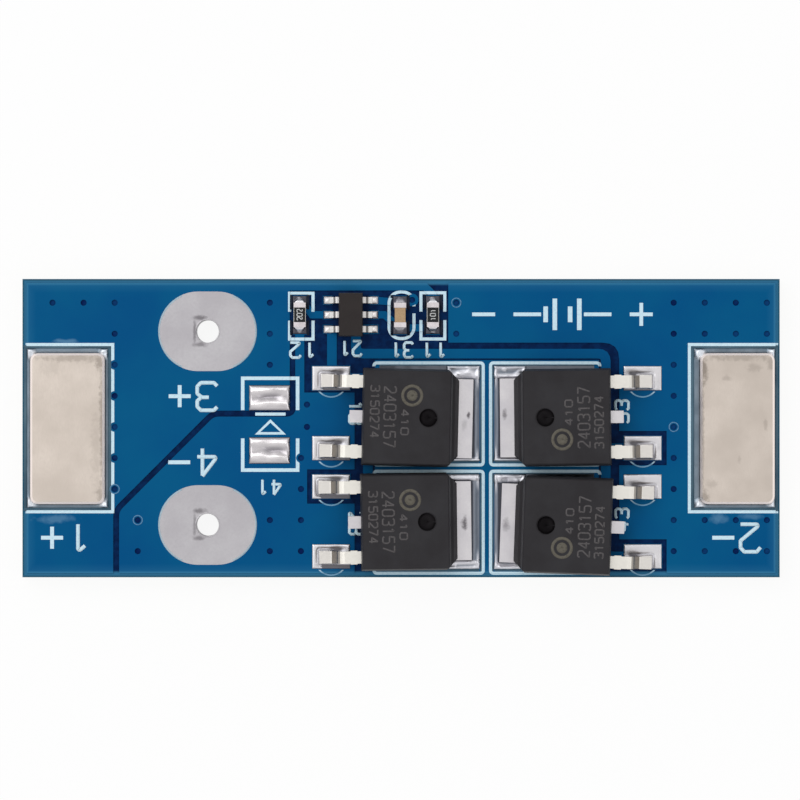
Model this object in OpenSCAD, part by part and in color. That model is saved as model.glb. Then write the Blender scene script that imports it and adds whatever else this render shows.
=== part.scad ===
// Single-cell battery management board: a two-sided circuit board with two nickel cell tabs,
// two plated wire holes, four power transistors back to back in two pairs, and the protection
// chip with its resistors and capacitor. The component side faces +Z and the board lies in XY,
// with its length along X. The origin is the centre of the underside. Millimetres throughout.

/* [Board] */
// Length of the board along X
board_l = 49.5; // [49:0.5:54]
// Width of the board along Y
board_w = 19.5; // [19.3:0.1:22]
// Thickness of the bare glass-epoxy laminate
laminate_t = 1.4; // [0.6:0.1:2.4]
// Thickness of the copper on each side
copper_t = 0.07; // [0.035:0.005:0.1]
// Thickness of the solder mask over copper and over bare laminate
mask_t = 0.03; // [0.02:0.005:0.05]
// Thickness of the printed ink
ink_t = 0.02; // [0.01:0.005:0.03]
// Distance from the copper to the edge of the board
edge_gap = 0.3; // [0.2:0.05:0.4]
// Width of the bare line between two copper areas
split_w = 0.45; // [0.3:0.05:0.5]
// Width of a printed frame line
ink_line_w = 0.2; // [0.15:0.01:0.26]

/* [Through holes] */
// Finished diameter of the two wire holes
wire_hole_d = 1.5; // [1:0.1:2]
// Length of a wire pad along X
wire_pad_l = 6.45; // [6:0.05:6.6]
// Width of a wire pad along Y
wire_pad_w = 5.2; // [4.6:0.1:5.4]
// Distance from the long edge of the board to the nearer wire hole
wire_hole_inset = 3.42; // [3.3:0.01:3.6]
// Thickness of the copper that plates the wire holes
plating_t = 0.05; // [0.03:0.01:0.08]
// Drilled diameter of a via
via_drill_d = 0.54; // [0.46:0.02:0.58]
// Thickness of the copper barrel in a via
via_wall = 0.04; // [0.03:0.01:0.06]
// Spacing of the via grid
via_pitch = 2.03; // [1.98:0.01:2.06]

/* [Cell tabs] */
// Width of a nickel tab along X
tab_l = 4.85; // [4.4:0.05:5]
// Length of a nickel tab along Y
tab_w = 9.85; // [9:0.05:10]
// Thickness of a nickel tab
tab_t = 0.5; // [0.3:0.1:1]
// Corner radius of a nickel tab
tab_corner_r = 0.5; // [0.3:0.1:0.8]
// Height and depth of the worn edge round the top of a tab
tab_edge = 0.14; // [0.08:0.02:0.2]
// Distance from the end of the board to the middle of a tab's pad
tab_pad_inset = 2.95; // [2.9:0.05:3.1]
// Width of the solder rim that the pad shows round the tab
tab_pad_rim = 0.23; // [0.15:0.01:0.28]

/* [Power transistors] */
// Moulded length of a transistor, between its leads and its tab
fet_body_l = 6.1; // [5.97:0.01:6.22]
// Moulded width of a transistor
fet_body_w = 6.35; // [6.2:0.05:6.5]
// Moulded height of a transistor
fet_body_h = 2.3; // [2.18:0.01:2.4]
// Thickness of the transistor's lead frame
fet_frame_t = 0.5; // [0.45:0.01:0.58]
// Width of the transistor's heat tab
fet_tab_w = 5.15; // [4.9:0.05:5.4]
// How far the heat tab stands out of the moulding
fet_tab_l = 0.92; // [0.8:0.01:1]
// Width of a transistor lead
fet_lead_w = 0.8; // [0.64:0.01:0.89]
// Distance from the outer to the centre lead
fet_lead_pitch = 2.285; // [2.25:0.005:2.32]
// How far an outer lead reaches from the moulding
fet_lead_reach = 2.7; // [2.5:0.05:2.9]
// How far the cut centre lead reaches from the moulding
fet_stub_l = 0.8; // [0.6:0.05:1]
// Diameter of the ejector mark on top of the moulding
fet_mark_d = 1.25; // [1:0.05:1.5]

/* [Protection chip] */
// Moulded length of the chip along Y
chip_l = 2.85; // [2.7:0.05:3]
// Moulded width of the chip along X
chip_w = 1.58; // [1.5:0.01:1.65]
// Moulded height of the chip
chip_h = 1.1; // [0.9:0.05:1.25]
// Distance between neighbouring chip leads
chip_pitch = 0.95; // [0.93:0.01:0.97]
// Span of the chip from lead tip to lead tip
chip_span = 2.8; // [2.7:0.05:3]
// Width of a chip lead
chip_lead_w = 0.4; // [0.3:0.01:0.45]
// Thickness of a chip lead
chip_lead_t = 0.15; // [0.1:0.01:0.2]

/* [Chip resistors and capacitor] */
// Length of a chip resistor or capacitor
smd_l = 1.6; // [1.5:0.05:1.7]
// Width of a chip resistor or capacitor
smd_w = 0.78; // [0.7:0.01:0.85]
// Height of a chip resistor
resistor_h = 0.45; // [0.4:0.01:0.5]
// Height of the chip capacitor
capacitor_h = 0.8; // [0.6:0.05:0.85]
// Length of a plated end on a chip part
smd_end_l = 0.32; // [0.25:0.01:0.4]
// Thickness of the plating on the end of a chip part
smd_end_t = 0.04; // [0.03:0.01:0.06]

/* [Soldering] */
// Solder left between a part and the copper under it
solder_gap = 0.06; // [0.05:0.005:0.08]
// Height of the solder crown on a transistor lead's pad
lead_solder_h = 0.34; // [0.25:0.01:0.4]
// Height of the solder crown on an empty diode pad
dome_h = 0.32; // [0.2:0.01:0.4]

/* [Hidden] */
$fn = 48;
// Overshoot of a cut past the face that it opens
cut = 0.1;

// Heights of the layers
laminate_z = mask_t + copper_t;
laminate_top = laminate_z + laminate_t;
copper_top = laminate_top + copper_t;
mask_top = copper_top + mask_t;
seat_z = copper_top + solder_gap;

// Half sizes of the board and of the copper on it
half_l = board_l / 2;
half_w = board_w / 2;
pour_l = half_l - edge_gap;
pour_w = half_w - edge_gap;

// Cell tab pads, with how far each tab slid on its solder before it set
tab_pad_x = half_l - tab_pad_inset;
tab_pad_l = tab_l + 2 * tab_pad_rim;
tab_pad_w = tab_w + 2 * (tab_pad_rim + 0.06);
tab_slip_left = [0.02, -0.03];
tab_slip_right = [0.16, -0.03];
tab_bed_h = 0.24;

// Transistor land pattern: two columns mirrored about a line, and two rows
fet_column = 5.11;
fet_row_gap = 0.73;
fet_row_mid = -2.56;
fet_row_reach = (fet_body_w + fet_row_gap) / 2;
fet_rows = [fet_row_mid + fet_row_reach, fet_row_mid - fet_row_reach];
fet_pad_l = 2.5;
fet_pad_w = 1.6;
fet_pad_reach = 5.07;
fet_drain_inner = -1.9;
fet_drain_outer = 4.61;
fet_drain_w = 6.2;
fet_ring_r = 0.98;
fet_ring_w = 0.09;
// Length between the tab pads: it holds the wire pads and then the group of parts, whose places
// follow the transistors' mirror line, and the free length is shared among the gaps between them
tab_inner_x = tab_pad_x - tab_pad_l / 2;
group_left = 12.69;
group_right = fet_column + fet_pad_reach + fet_pad_l / 2;
free_l = 2 * tab_inner_x - wire_pad_l - group_left - group_right;
free_share_left = 0.4236;
free_share_right = 0.2727;
fet_axis_x = tab_inner_x - free_share_right * free_l - group_right;

// Wire holes
wire_x = -tab_inner_x + free_share_left * free_l + wire_pad_l / 2;
wire_y = half_w - wire_hole_inset;
wire_drill_d = wire_hole_d + 2 * plating_t;

// Each transistor's place: column side, row, and how it sat after soldering (X, Y, degrees)
fet_places = [
    [-1, 0, [0, -0.28], -1.3],
    [-1, 1, [-0.09, 0.02], 0.7],
    [1, 0, [-0.09, -0.27], 0.6],
    [1, 1, [-0.05, -0.22], -2.1]
];
// Row end that holds the gate lead: 1 is the upper lead, -1 the lower one
fet_gate_end = [1, 1, -1, -1];

// Transistor moulding and lead frame
fet_part_z = 1.2;
fet_draft = 0.13;
fet_tab_draft = 0.32;
fet_skirt = 0.2;
fet_ledge = 0.14;
fet_corner = 0.72;
fet_edge = 0.07;
fet_mark_x = 1.3;
fet_mark_depth = 0.12;
fet_foot_l = 0.95;
fet_rise_l = 0.5;
fet_inner_l = 0.95;
fet_plate_end = -1.75;
fet_shoulder_l = 0.45;
fet_shoulder_w = 0.1;

// Copper areas on the component side
drain_top = 4.42;
drain_half_l = 7.29;
trace_w = 0.57;
thin_trace_w = 0.42;
gate_bus_y = 4.87;
gate_link = 7.77;
source_edge = 8.68;
source_top = 2.3;
clearance = 0.35;
negative_edge_x = fet_axis_x - 2.49;
negative_edge_y = 5.62;
island_x = fet_axis_x - group_left;
divider_y = 0.95;
divider_x = -tab_inner_x + 0.525;
divider_kink = -(tab_pad_w / 2 + 0.145);
strip_w = 0.42;

// Protection chip, resistors, capacitor and the empty diode position
chip_row_y = half_w - 2.35;
chip_at = [fet_axis_x - 8.89, chip_row_y + 0.01];
chip_pad = [0.6, 0.54];
chip_pad_reach = 1.5;
detect_at = [island_x + 0.46, chip_row_y];
filter_at = [fet_axis_x - 3.53, chip_row_y];
capacitor_at = [fet_axis_x - 5.67, chip_row_y - 0.02];
smd_pad = [0.92, 0.85];
smd_pad_reach = 0.83;
diode_x = fet_axis_x - 14.21;
diode_pads = [[1.98, 2.68, 1.66], [-1.46, 2.7, 1.74]];

// Vias stand on a grid, in columns tied to the ends of the board or to the gaps between the pads
via_left_x = -half_l + 1.97;
via_right_x = half_l - 0.84;
via_gap_x = wire_x + wire_pad_l / 2 + 0.11 * free_l;
via_edge_x = tab_inner_x - 0.1716 * free_l;
via_mid_y = 0.08;
vias_positive = concat(
    [for (c = [0:2]) [via_left_x + c * via_pitch, 4]],
    [for (r = [-2:3]) [via_left_x + 2 * via_pitch, r]],
    [for (r = [2:4]) [via_gap_x, r]]
);
vias_negative = concat(
    [for (c = [0:3], r = [-4, -3, 3, 4]) [via_right_x - c * via_pitch, r]],
    [for (r = [-2:2]) [via_edge_x, r]],
    [for (r = [3, 4]) [fet_axis_x - 2, r]]
);
vias_pack = concat(
    [for (r = [-1, -2]) [island_x + 0.54, r]],
    [for (c = [0, 1], r = [-3, -4]) [via_gap_x + c * via_pitch, r]],
    [for (r = [-3, -4]) [divider_x + 1.41, r]]
);
vias_pack_free = [[island_x + 0.93, 1.54], [island_x + 0.93, 0.08]];
via_capacitor = capacitor_at + [0.78, 1];

// Bore of a via's barrel, and how far the mask fills it and sags into it
via_bore = via_drill_d - 2 * via_wall;
via_plug_h = 0.2;
via_sag = 0.12;

// Line between the two negative copper areas on the underside
under_negative_x = fet_axis_x - 6.11;

// ---------- outlines and paths ----------

function unit(v) = v / norm(v);
function side_of(a, b) = let (d = unit(b - a)) [-d[1], d[0]];

// Offset of point i of a path to its left side, so that a band keeps its width round corners
function mitre(path, i, w) =
    let (last = len(path) - 1)
    let (before = side_of(path[max(i - 1, 0)], path[max(i, 1)]))
    let (after = side_of(path[min(i, last - 1)], path[min(i + 1, last)]))
    let (middle = unit(before + after))
    middle * w / 2 / (middle * before);

// A path with each inner corner rounded, starting t before the corner
function eased(path, t, n = 4) = [
    for (i = [0:len(path) - 1])
        let (inner = i > 0 && i < len(path) - 1)
        let (p = path[i])
        let (a = inner ? p - unit(p - path[i - 1]) * t : p)
        let (b = inner ? p + unit(path[i + 1] - p) * t : p)
        for (k = [0:(inner ? n : 0)])
            let (s = k / n)
            a * (1 - s) * (1 - s) + p * 2 * s * (1 - s) + b * s * s
];

function arc(c, r, a0, a1, n) = [
    for (k = [0:n])
        let (a = a0 + (a1 - a0) * k / n)
        c + r * [cos(a), sin(a)]
];

function rounded(l, w, r, n = 5) = concat(
    arc([l / 2 - r, w / 2 - r], r, 0, 90, n),
    arc([r - l / 2, w / 2 - r], r, 90, 180, n),
    arc([r - l / 2, r - w / 2], r, 180, 270, n),
    arc([l / 2 - r, r - w / 2], r, 270, 360, n)
);

module band(path, w) {
    last = len(path) - 1;
    polygon(concat(
        [for (i = [0:last]) path[i] - mitre(path, i, w)],
        [for (i = [last:-1:0]) path[i] + mitre(path, i, w)]
    ));
}

module pad(at, l, w) {
    translate(at) square([l, w], center = true);
}

module layer(z, t) {
    translate([0, 0, z]) linear_extrude(t) children();
}

// A profile drawn in X and Z, extruded along Y
module across(w) {
    rotate([90, 0, 0]) linear_extrude(w, center = true) children();
}

// A profile drawn in Y and Z, extruded along X
module along(l) {
    rotate([90, 0, 90]) linear_extrude(l, center = true) children();
}

// Solder crowned in both directions over a rectangular pad
module crown(l, w, h) {
    r_l = (l * l / 4 + h * h) / (2 * h);
    r_w = (w * w / 4 + h * h) / (2 * h);
    intersection() {
        translate([0, 0, h / 2]) cube([l, w, h], center = true);
        translate([0, 0, h - r_l]) rotate([90, 0, 0]) cylinder(h = 2 * w, r = r_l, center = true);
        translate([0, 0, h - r_w]) rotate([0, 90, 0]) cylinder(h = 2 * l, r = r_w, center = true);
    }
}

// ---------- vias and wire holes ----------

function places(vias) = [for (v = vias) [v[0], via_mid_y + v[1] * via_pitch]];

positive_vias = places(vias_positive);
negative_vias = concat(places(vias_negative), [via_capacitor]);
pack_vias = concat(places(vias_pack), vias_pack_free);
all_vias = concat(positive_vias, negative_vias, pack_vias);
wire_holes = [[wire_x, wire_y], [wire_x, -wire_y]];

module drills(at, d, z, t) {
    for (p = at) translate([p[0], p[1], z]) cylinder(h = t, d = d);
}

// ---------- land pattern ----------

function fet_centre(i) = [
    fet_axis_x + fet_places[i][0] * fet_column,
    fet_rows[fet_places[i][1]]
];
function lead_pad(i, end) = fet_centre(i) + [fet_places[i][0] * fet_pad_reach, end * fet_lead_pitch];
function gate_pad(i) = lead_pad(i, fet_gate_end[i]);
function source_pad(i) = lead_pad(i, -fet_gate_end[i]);

module lead_pads(grow = 0) {
    for (i = [0:3], end = [-1, 1]) pad(lead_pad(i, end), fet_pad_l + 2 * grow, fet_pad_w + 2 * grow);
}

module drain_pad(i, grow = 0) {
    side = -fet_places[i][0];
    l = fet_drain_outer - fet_drain_inner;
    mid = fet_centre(i) + [side * (fet_drain_outer + fet_drain_inner) / 2, 0];
    pad(mid, l + 2 * grow, fet_drain_w + 2 * grow);
}

function chip_pad_at(side, k) = chip_at + [side * chip_pad_reach, k * chip_pitch];

module smd_pads(at, grow = 0) {
    for (end = [-1, 1]) {
        pad(at + [0, end * smd_pad_reach], smd_pad[0] + 2 * grow, smd_pad[1] + 2 * grow);
    }
}

module small_pads(grow = 0) {
    for (side = [-1, 1], k = [-1:1]) {
        pad(chip_pad_at(side, k), chip_pad[0] + 2 * grow, chip_pad[1] + 2 * grow);
    }
    for (at = [detect_at, filter_at, capacitor_at]) smd_pads(at, grow);
    for (d = diode_pads) pad([diode_x, d[0]], d[1] + 2 * grow, d[2] + 2 * grow);
}

module tab_pads(grow = 0) {
    for (side = [-1, 1]) pad([side * tab_pad_x, 0], tab_pad_l + 2 * grow, tab_pad_w + 2 * grow);
}

module wire_pad(at, grow = 0) {
    translate(at) polygon(rounded(wire_pad_l + 2 * grow, wire_pad_w + 2 * grow, wire_pad_w / 2 + grow, 16));
}

// Every opening in the mask of the component side
module openings(grow = 0) {
    lead_pads(grow);
    for (i = [0:3]) drain_pad(i, grow);
    small_pads(grow);
    tab_pads(grow);
    for (at = wire_holes) wire_pad(at, grow);
}

// ---------- copper of the component side, each area grown by m ----------

divider = eased([
    [divider_x, -half_w],
    [divider_x, divider_kink],
    [divider_x + divider_y - divider_kink, divider_y],
    [island_x, divider_y],
    [island_x, half_w]
], 0.4);

module pour(m) {
    square([2 * (pour_l + m), 2 * (pour_w + m)], center = true);
}

module positive_area(m = 0) {
    intersection() {
        pour(m);
        difference() {
            polygon(concat(divider, [[-half_l, half_w], [-half_l, -half_w]]));
            band(divider, split_w - 2 * m);
        }
    }
    band([[island_x - 1, pour_w - strip_w / 2],
          [filter_at[0] - 0.5, pour_w - strip_w / 2],
          [filter_at[0], pour_w - strip_w / 2 - 0.5],
          [filter_at[0], filter_at[1] + smd_pad_reach]], strip_w + 2 * m);
    pad(filter_at + [0, smd_pad_reach], smd_pad[0] + 2 * m, smd_pad[1] + 2 * m);
}

module pack_area(m = 0) {
    right = fet_axis_x - source_edge;
    difference() {
        intersection() {
            pour(m);
            polygon(concat(
                [[right + m, -half_w], [right + m, source_top + m], [island_x, source_top + m]],
                [for (i = [len(divider) - 2:-1:0]) divider[i]]
            ));
        }
        band(divider, split_w - 2 * m);
        pad(gate_pad(1), fet_pad_l + 2 * (clearance - m), fet_pad_w + 2 * (clearance - m));
    }
    band([detect_at - [0, smd_pad_reach], [detect_at[0], source_top - 1]], trace_w - 0.04 + 2 * m);
    pad(detect_at - [0, smd_pad_reach], smd_pad[0] + 2 * m, smd_pad[1] + 2 * m);
}

module negative_area(m = 0) {
    left = fet_axis_x + source_edge;
    bend = eased([[negative_edge_x - m, half_w],
                  [negative_edge_x - m, negative_edge_y - m],
                  [left - m, negative_edge_y - m],
                  [left - m, -half_w]], 1.1);
    difference() {
        intersection() {
            pour(m);
            polygon(concat([[negative_edge_x - m, half_w], [negative_edge_x - m, negative_edge_y - m]],
                           [for (i = [6:len(bend) - 1]) bend[i]],
                           [[half_l, -half_w], [half_l, half_w]]));
        }
        for (i = [2, 3]) {
            pad(gate_pad(i), fet_pad_l + 2 * (clearance - m), fet_pad_w + 2 * (clearance - m));
        }
    }
    band([chip_pad_at(1, 1), capacitor_at + [0, smd_pad_reach], via_capacitor], thin_trace_w + 2 * m);
    pad(chip_pad_at(1, 1), chip_pad[0] + 2 * m, chip_pad[1] + 2 * m);
    pad(capacitor_at + [0, smd_pad_reach], smd_pad[0] + 2 * m, smd_pad[1] + 2 * m);
    translate(via_capacitor) circle(d = via_drill_d + 0.24 + 2 * m);
}

module drain_area(m = 0) {
    translate([fet_axis_x - drain_half_l - m, -pour_w - m])
        square([2 * (drain_half_l + m), drain_top + pour_w + 2 * m]);
}

module charge_gate_area(m = 0) {
    x = fet_axis_x - gate_link;
    w = trace_w + 2 * m;
    band([chip_pad_at(-1, -1) + [0.26, 0], [chip_pad_at(-1, -1)[0] + 0.26, gate_pad(0)[1]]], w);
    band([gate_pad(0), [x, gate_pad(0)[1]], [x, gate_pad(1)[1]], gate_pad(1)], w);
    pad(chip_pad_at(-1, -1), chip_pad[0] + 2 * m, chip_pad[1] + 2 * m);
    for (i = [0, 1]) pad(gate_pad(i), fet_pad_l + 2 * m, fet_pad_w + 2 * m);
}

module discharge_gate_area(m = 0) {
    x = fet_axis_x + gate_link;
    w = trace_w + 2 * m;
    start = chip_pad_at(1, -1);
    bus = eased([[chip_at[0] + 0.33, start[1]], [chip_at[0] + 0.33, gate_bus_y], [x, gate_bus_y],
                 [x, gate_pad(3)[1]], gate_pad(3)], 0.5);
    band(concat([start], bus), w);
    band([[x, gate_pad(2)[1]], gate_pad(2)], w);
    pad(chip_pad_at(1, -1), chip_pad[0] + 2 * m, chip_pad[1] + 2 * m);
    for (i = [2, 3]) pad(gate_pad(i), fet_pad_l + 2 * m, fet_pad_w + 2 * m);
}

module chip_trace_area(m = 0) {
    w = thin_trace_w + 2 * m;
    pad(chip_pad_at(-1, 1), chip_pad[0] + 2 * m, chip_pad[1] + 2 * m);
    pad(chip_pad_at(-1, 0), chip_pad[0] + 2 * m, chip_pad[1] + 2 * m);
    band([detect_at + [0.2, smd_pad_reach], [detect_at[0] + 0.8, chip_at[1]], chip_pad_at(-1, 0)], w);
    pad(detect_at + [0, smd_pad_reach], smd_pad[0] + 2 * m, smd_pad[1] + 2 * m);
    band([chip_pad_at(1, 0), chip_pad_at(1, 0) + [0.7, 0], capacitor_at - [0, smd_pad_reach],
          filter_at - [0, smd_pad_reach]], w);
    pad(chip_pad_at(1, 0), chip_pad[0] + 2 * m, chip_pad[1] + 2 * m);
    for (at = [capacitor_at, filter_at]) {
        pad(at - [0, smd_pad_reach], smd_pad[0] + 2 * m, smd_pad[1] + 2 * m);
    }
}

module top_copper(m = 0) {
    positive_area(m);
    pack_area(m);
    negative_area(m);
    drain_area(m);
    charge_gate_area(m);
    discharge_gate_area(m);
    chip_trace_area(m);
}

// ---------- copper of the underside ----------

module under_area(outline, m) {
    intersection() {
        pour(m);
        difference() {
            polygon(outline);
            band(divider, split_w - 2 * m);
            band([[under_negative_x, -half_w], [under_negative_x, half_w]], split_w - 2 * m);
        }
    }
}

module under_positive(m = 0) {
    under_area(concat(divider, [[-half_l, half_w], [-half_l, -half_w]]), m);
}

module under_pack(m = 0) {
    under_area(concat([[under_negative_x, -half_w], [under_negative_x, half_w]],
                      [for (i = [len(divider) - 1:-1:0]) divider[i]]), m);
}

module under_negative(m = 0) {
    under_area([[under_negative_x, -half_w], [half_l, -half_w], [half_l, half_w],
                [under_negative_x, half_w]], m);
}

module bottom_copper(m = 0) {
    under_positive(m);
    under_pack(m);
    under_negative(m);
}

// ---------- board ----------

module outline() {
    square([board_l, board_w], center = true);
}

module laminate() {
    color("darkkhaki") difference() {
        layer(laminate_z, laminate_t) outline();
        drills(all_vias, via_drill_d, laminate_z - cut, laminate_t + 2 * cut);
        drills(wire_holes, wire_drill_d, laminate_z - cut, laminate_t + 2 * cut);
    }
}

// The first child is the area on the component side and the second the area on the underside
module plated_copper(vias, holes = []) {
    t = copper_top - mask_t;
    color("peru") difference() {
        union() {
            layer(laminate_top, copper_t) children(0);
            layer(mask_t, copper_t) children(1);
            drills(vias, via_drill_d, mask_t, t);
            drills(holes, wire_drill_d, mask_t, t);
        }
        drills(vias, via_bore, mask_t - cut, t + 2 * cut);
        drills(holes, wire_hole_d, mask_t - cut, t + 2 * cut);
    }
}

module copper_battery_positive() {
    plated_copper(positive_vias, [wire_holes[0]]) {
        positive_area();
        under_positive();
    }
}

module copper_battery_negative() {
    plated_copper(negative_vias) {
        negative_area();
        under_negative();
    }
}

module copper_pack_negative() {
    plated_copper(pack_vias, [wire_holes[1]]) {
        pack_area();
        under_pack();
    }
}

module copper_drain() {
    color("peru") layer(laminate_top, copper_t) drain_area();
}

module copper_charge_gates() {
    color("peru") layer(laminate_top, copper_t) charge_gate_area();
}

module copper_discharge_gates() {
    color("peru") layer(laminate_top, copper_t) discharge_gate_area();
}

module copper_chip_traces() {
    color("peru") layer(laminate_top, copper_t) chip_trace_area();
}

// The mask lies lower where no copper is under it, and sags into each via that it closes
module solder_mask_top() {
    color("steelblue") difference() {
        union() {
            layer(laminate_top, mask_t) difference() {
                outline();
                top_copper();
            }
            layer(laminate_top + mask_t, copper_t) difference() {
                top_copper(mask_t);
                top_copper();
            }
            layer(copper_top, mask_t) top_copper(mask_t);
            drills(all_vias, via_bore, mask_top - via_plug_h, via_plug_h);
        }
        drills(all_vias, via_bore - 2 * mask_t, mask_top - via_sag, via_sag + cut);
        layer(laminate_top - cut, 1) openings();
    }
}

module solder_mask_bottom() {
    color("steelblue") difference() {
        union() {
            layer(laminate_z - mask_t, mask_t) difference() {
                outline();
                bottom_copper();
            }
            layer(mask_t, copper_t - mask_t) difference() {
                bottom_copper(mask_t);
                bottom_copper();
            }
            layer(0, mask_t) bottom_copper(mask_t);
            drills(all_vias, via_bore, 0, via_plug_h);
        }
        drills(all_vias, via_bore - 2 * mask_t, -cut, cut + via_sag);
        layer(-cut, 1) for (at = wire_holes) wire_pad(at);
    }
}

// ---------- printed ink ----------

// Two bracket halves round a chip part, open in the middle of each side
module bracket_frame(at, l, w, opening) {
    for (end = [-1, 1]) {
        translate(at) band([[-l / 2, end * opening / 2], [-l / 2, end * w / 2], [l / 2, end * w / 2],
                            [l / 2, end * opening / 2]], ink_line_w);
    }
}

module tab_frame(side, reach) {
    x = side * (tab_pad_x - tab_pad_l / 2 - 0.3);
    y = tab_pad_w / 2 + 0.25;
    band([[side * reach, y], [x, y], [x, -y], [side * reach, -y]], ink_line_w);
}

module fet_frame(i) {
    side = fet_places[i][0];
    inner = fet_centre(i)[0] - side * (fet_column - 0.24);
    outer = fet_centre(i)[0] + side * 2.27;
    half = fet_drain_w / 2 + 0.235;
    y = fet_centre(i)[1] - 0.05;
    band(eased([[outer, y + half - 0.22], [outer, y + half], [inner, y + half], [inner, y - half],
                [outer, y - half], [outer, y - half + 0.22]], 0.2), ink_line_w);
}

module capacitor_frame() {
    l = 1.63;
    w = 3.05;
    r = 0.74;
    difference() {
        translate(capacitor_at + [0.09, 0]) difference() {
            polygon(rounded(l + ink_line_w, w + ink_line_w, r + ink_line_w / 2, 8));
            polygon(rounded(l - ink_line_w, w - ink_line_w, r - ink_line_w / 2, 8));
        }
        translate(capacitor_at + [0.3, 0.12]) square([1, 0.46]);
        translate(via_capacitor) circle(d = via_drill_d + 0.2);
    }
}

// Outline of the diode's arrow, drawn in by an even width
function arrow_outline(inset) = [
    [diode_x - 0.96 + 2.2 * inset, -0.42 + inset],
    [diode_x + 1.08 - 2.2 * inset, -0.42 + inset],
    [diode_x + 0.06, 0.58 - 1.4 * inset]
];

module diode_frame() {
    for (d = diode_pads) {
        end = sign(d[0]);
        y_far = end > 0 ? 3.26 : -2.74;
        y_near = end > 0 ? 1.18 : -0.67;
        band([[diode_x - 1.75, y_near], [diode_x - 1.75, y_far], [diode_x + 1.84, y_far],
              [diode_x + 1.84, y_near]], ink_line_w + 0.03);
    }
    band([[diode_x - 0.93, 0.92], [diode_x + 1.05, 0.92]], ink_line_w);
    difference() {
        polygon(arrow_outline(0));
        polygon(arrow_outline(ink_line_w - 0.04));
    }
}

module plus_sign(at, r, w) {
    pad(at, 2 * r, w);
    pad(at, w, 2 * r);
}

module minus_sign(at, r, w) {
    pad(at, 2 * r, w);
}

// Circuit symbol of a cell between its two poles
module cell_symbol(at, l, w) {
    plus_sign(at + [l / 2 - 0.75, 0], 0.75, 0.24);
    minus_sign(at - [l / 2 - 0.75, 0], 0.75, 0.24);
    for (x = [-1.1, 0.5]) {
        pad(at + [x, 0], 0.3, w / 2);
        pad(at + [x + 0.6, 0], 0.3, w);
    }
    pad(at - [2.3, 0], 1.8, 0.24);
    pad(at + [2.3, 0], 1.8, 0.24);
}

module ink_area() {
    sign_y = 2.59 - half_w;
    difference() {
        union() {
            tab_frame(-1, half_l - 0.2);
            tab_frame(1, half_l - 0.1);
            bracket_frame(detect_at - [-0.1, 0.08], 1.53, 3, 0.58);
            bracket_frame(filter_at + [0, -0.06], 1.56, 3.02, 0.56);
            capacitor_frame();
            diode_frame();
            for (i = [0:3]) fet_frame(i);
            for (i = [0:3], end = [-1, 1]) {
                translate(lead_pad(i, end) - [0, 0.2]) difference() {
                    circle(r = fet_ring_r + fet_ring_w);
                    circle(r = fet_ring_r);
                }
            }
            plus_sign([-tab_pad_x - 1.01, sign_y], 0.72, 0.25);
            minus_sign([tab_pad_x - 0.74, sign_y], 0.72, 0.25);
            plus_sign([wire_x - 1.82, wire_y - 4.24], 0.72, 0.25);
            minus_sign([wire_x - 1.85, 4.1 - wire_y], 0.72, 0.25);
            cell_symbol([fet_axis_x + 4.94, chip_row_y + 0.04], 11.8, 2.06);
        }
        openings(0.08);
        for (p = all_vias) translate(p) circle(d = via_drill_d + 0.1);
    }
}

// Ink follows the two levels of the mask under it
module printed_ink() {
    color("aliceblue") {
        layer(mask_top, ink_t) intersection() {
            ink_area();
            top_copper(mask_t);
        }
        layer(laminate_top + mask_t, ink_t) difference() {
            ink_area();
            top_copper(mask_t);
        }
    }
}

// ---------- wire pads ----------

// Tin over the pads on both faces of a plated wire hole
module wire_pad_tin(at) {
    color("silver") difference() {
        union() {
            layer(copper_top, mask_t) wire_pad(at);
            layer(0, mask_t) wire_pad(at);
        }
        drills([at], wire_hole_d, -cut, mask_top + 2 * cut);
    }
}

module wire_pad_tin_positive() {
    wire_pad_tin(wire_holes[0]);
}

module wire_pad_tin_negative() {
    wire_pad_tin(wire_holes[1]);
}

// ---------- cell tabs ----------

module tab_plate(at) {
    translate([at[0], at[1], seat_z]) hull() {
        layer(0, tab_t - tab_edge) polygon(rounded(tab_l, tab_w, tab_corner_r));
        layer(0, tab_t) polygon(rounded(tab_l - 2 * tab_edge, tab_w - 2 * tab_edge, tab_corner_r - tab_edge));
    }
}

module tab_solder(side, at) {
    color("silver") difference() {
        translate([side * tab_pad_x, 0, copper_top]) hull() {
            layer(0, mask_t) polygon(rounded(tab_pad_l, tab_pad_w, 0.1, 1));
            translate([at[0] - side * tab_pad_x, at[1], 0]) layer(0, tab_bed_h)
                polygon(rounded(tab_l + 0.06, tab_w + 0.06, tab_corner_r));
        }
        tab_plate(at);
        translate([at[0], at[1], seat_z + tab_t]) cube([tab_l, tab_w, tab_t], center = true);
    }
}

tab_left = [-tab_pad_x, 0] + tab_slip_left;
tab_right = [tab_pad_x, 0] + tab_slip_right;

module cell_tab_positive() {
    color("gainsboro") tab_plate(tab_left);
}

module cell_tab_negative() {
    color("gainsboro") tab_plate(tab_right);
}

module cell_tab_solder_positive() {
    tab_solder(-1, tab_left);
}

module cell_tab_solder_negative() {
    tab_solder(1, tab_right);
}

// ---------- power transistors, drawn with their leads towards -X ----------

fet_half_l = fet_body_l / 2;
fet_half_w = fet_body_w / 2;
fet_toe = fet_half_l + fet_skirt;
fet_tab_end = fet_toe + fet_tab_l;

module placed_fet(i) {
    at = fet_centre(i) + fet_places[i][2];
    turn = fet_places[i][3] + (fet_places[i][0] > 0 ? 180 : 0);
    translate([at[0], at[1], seat_z]) rotate([0, 0, turn]) children();
}

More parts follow.
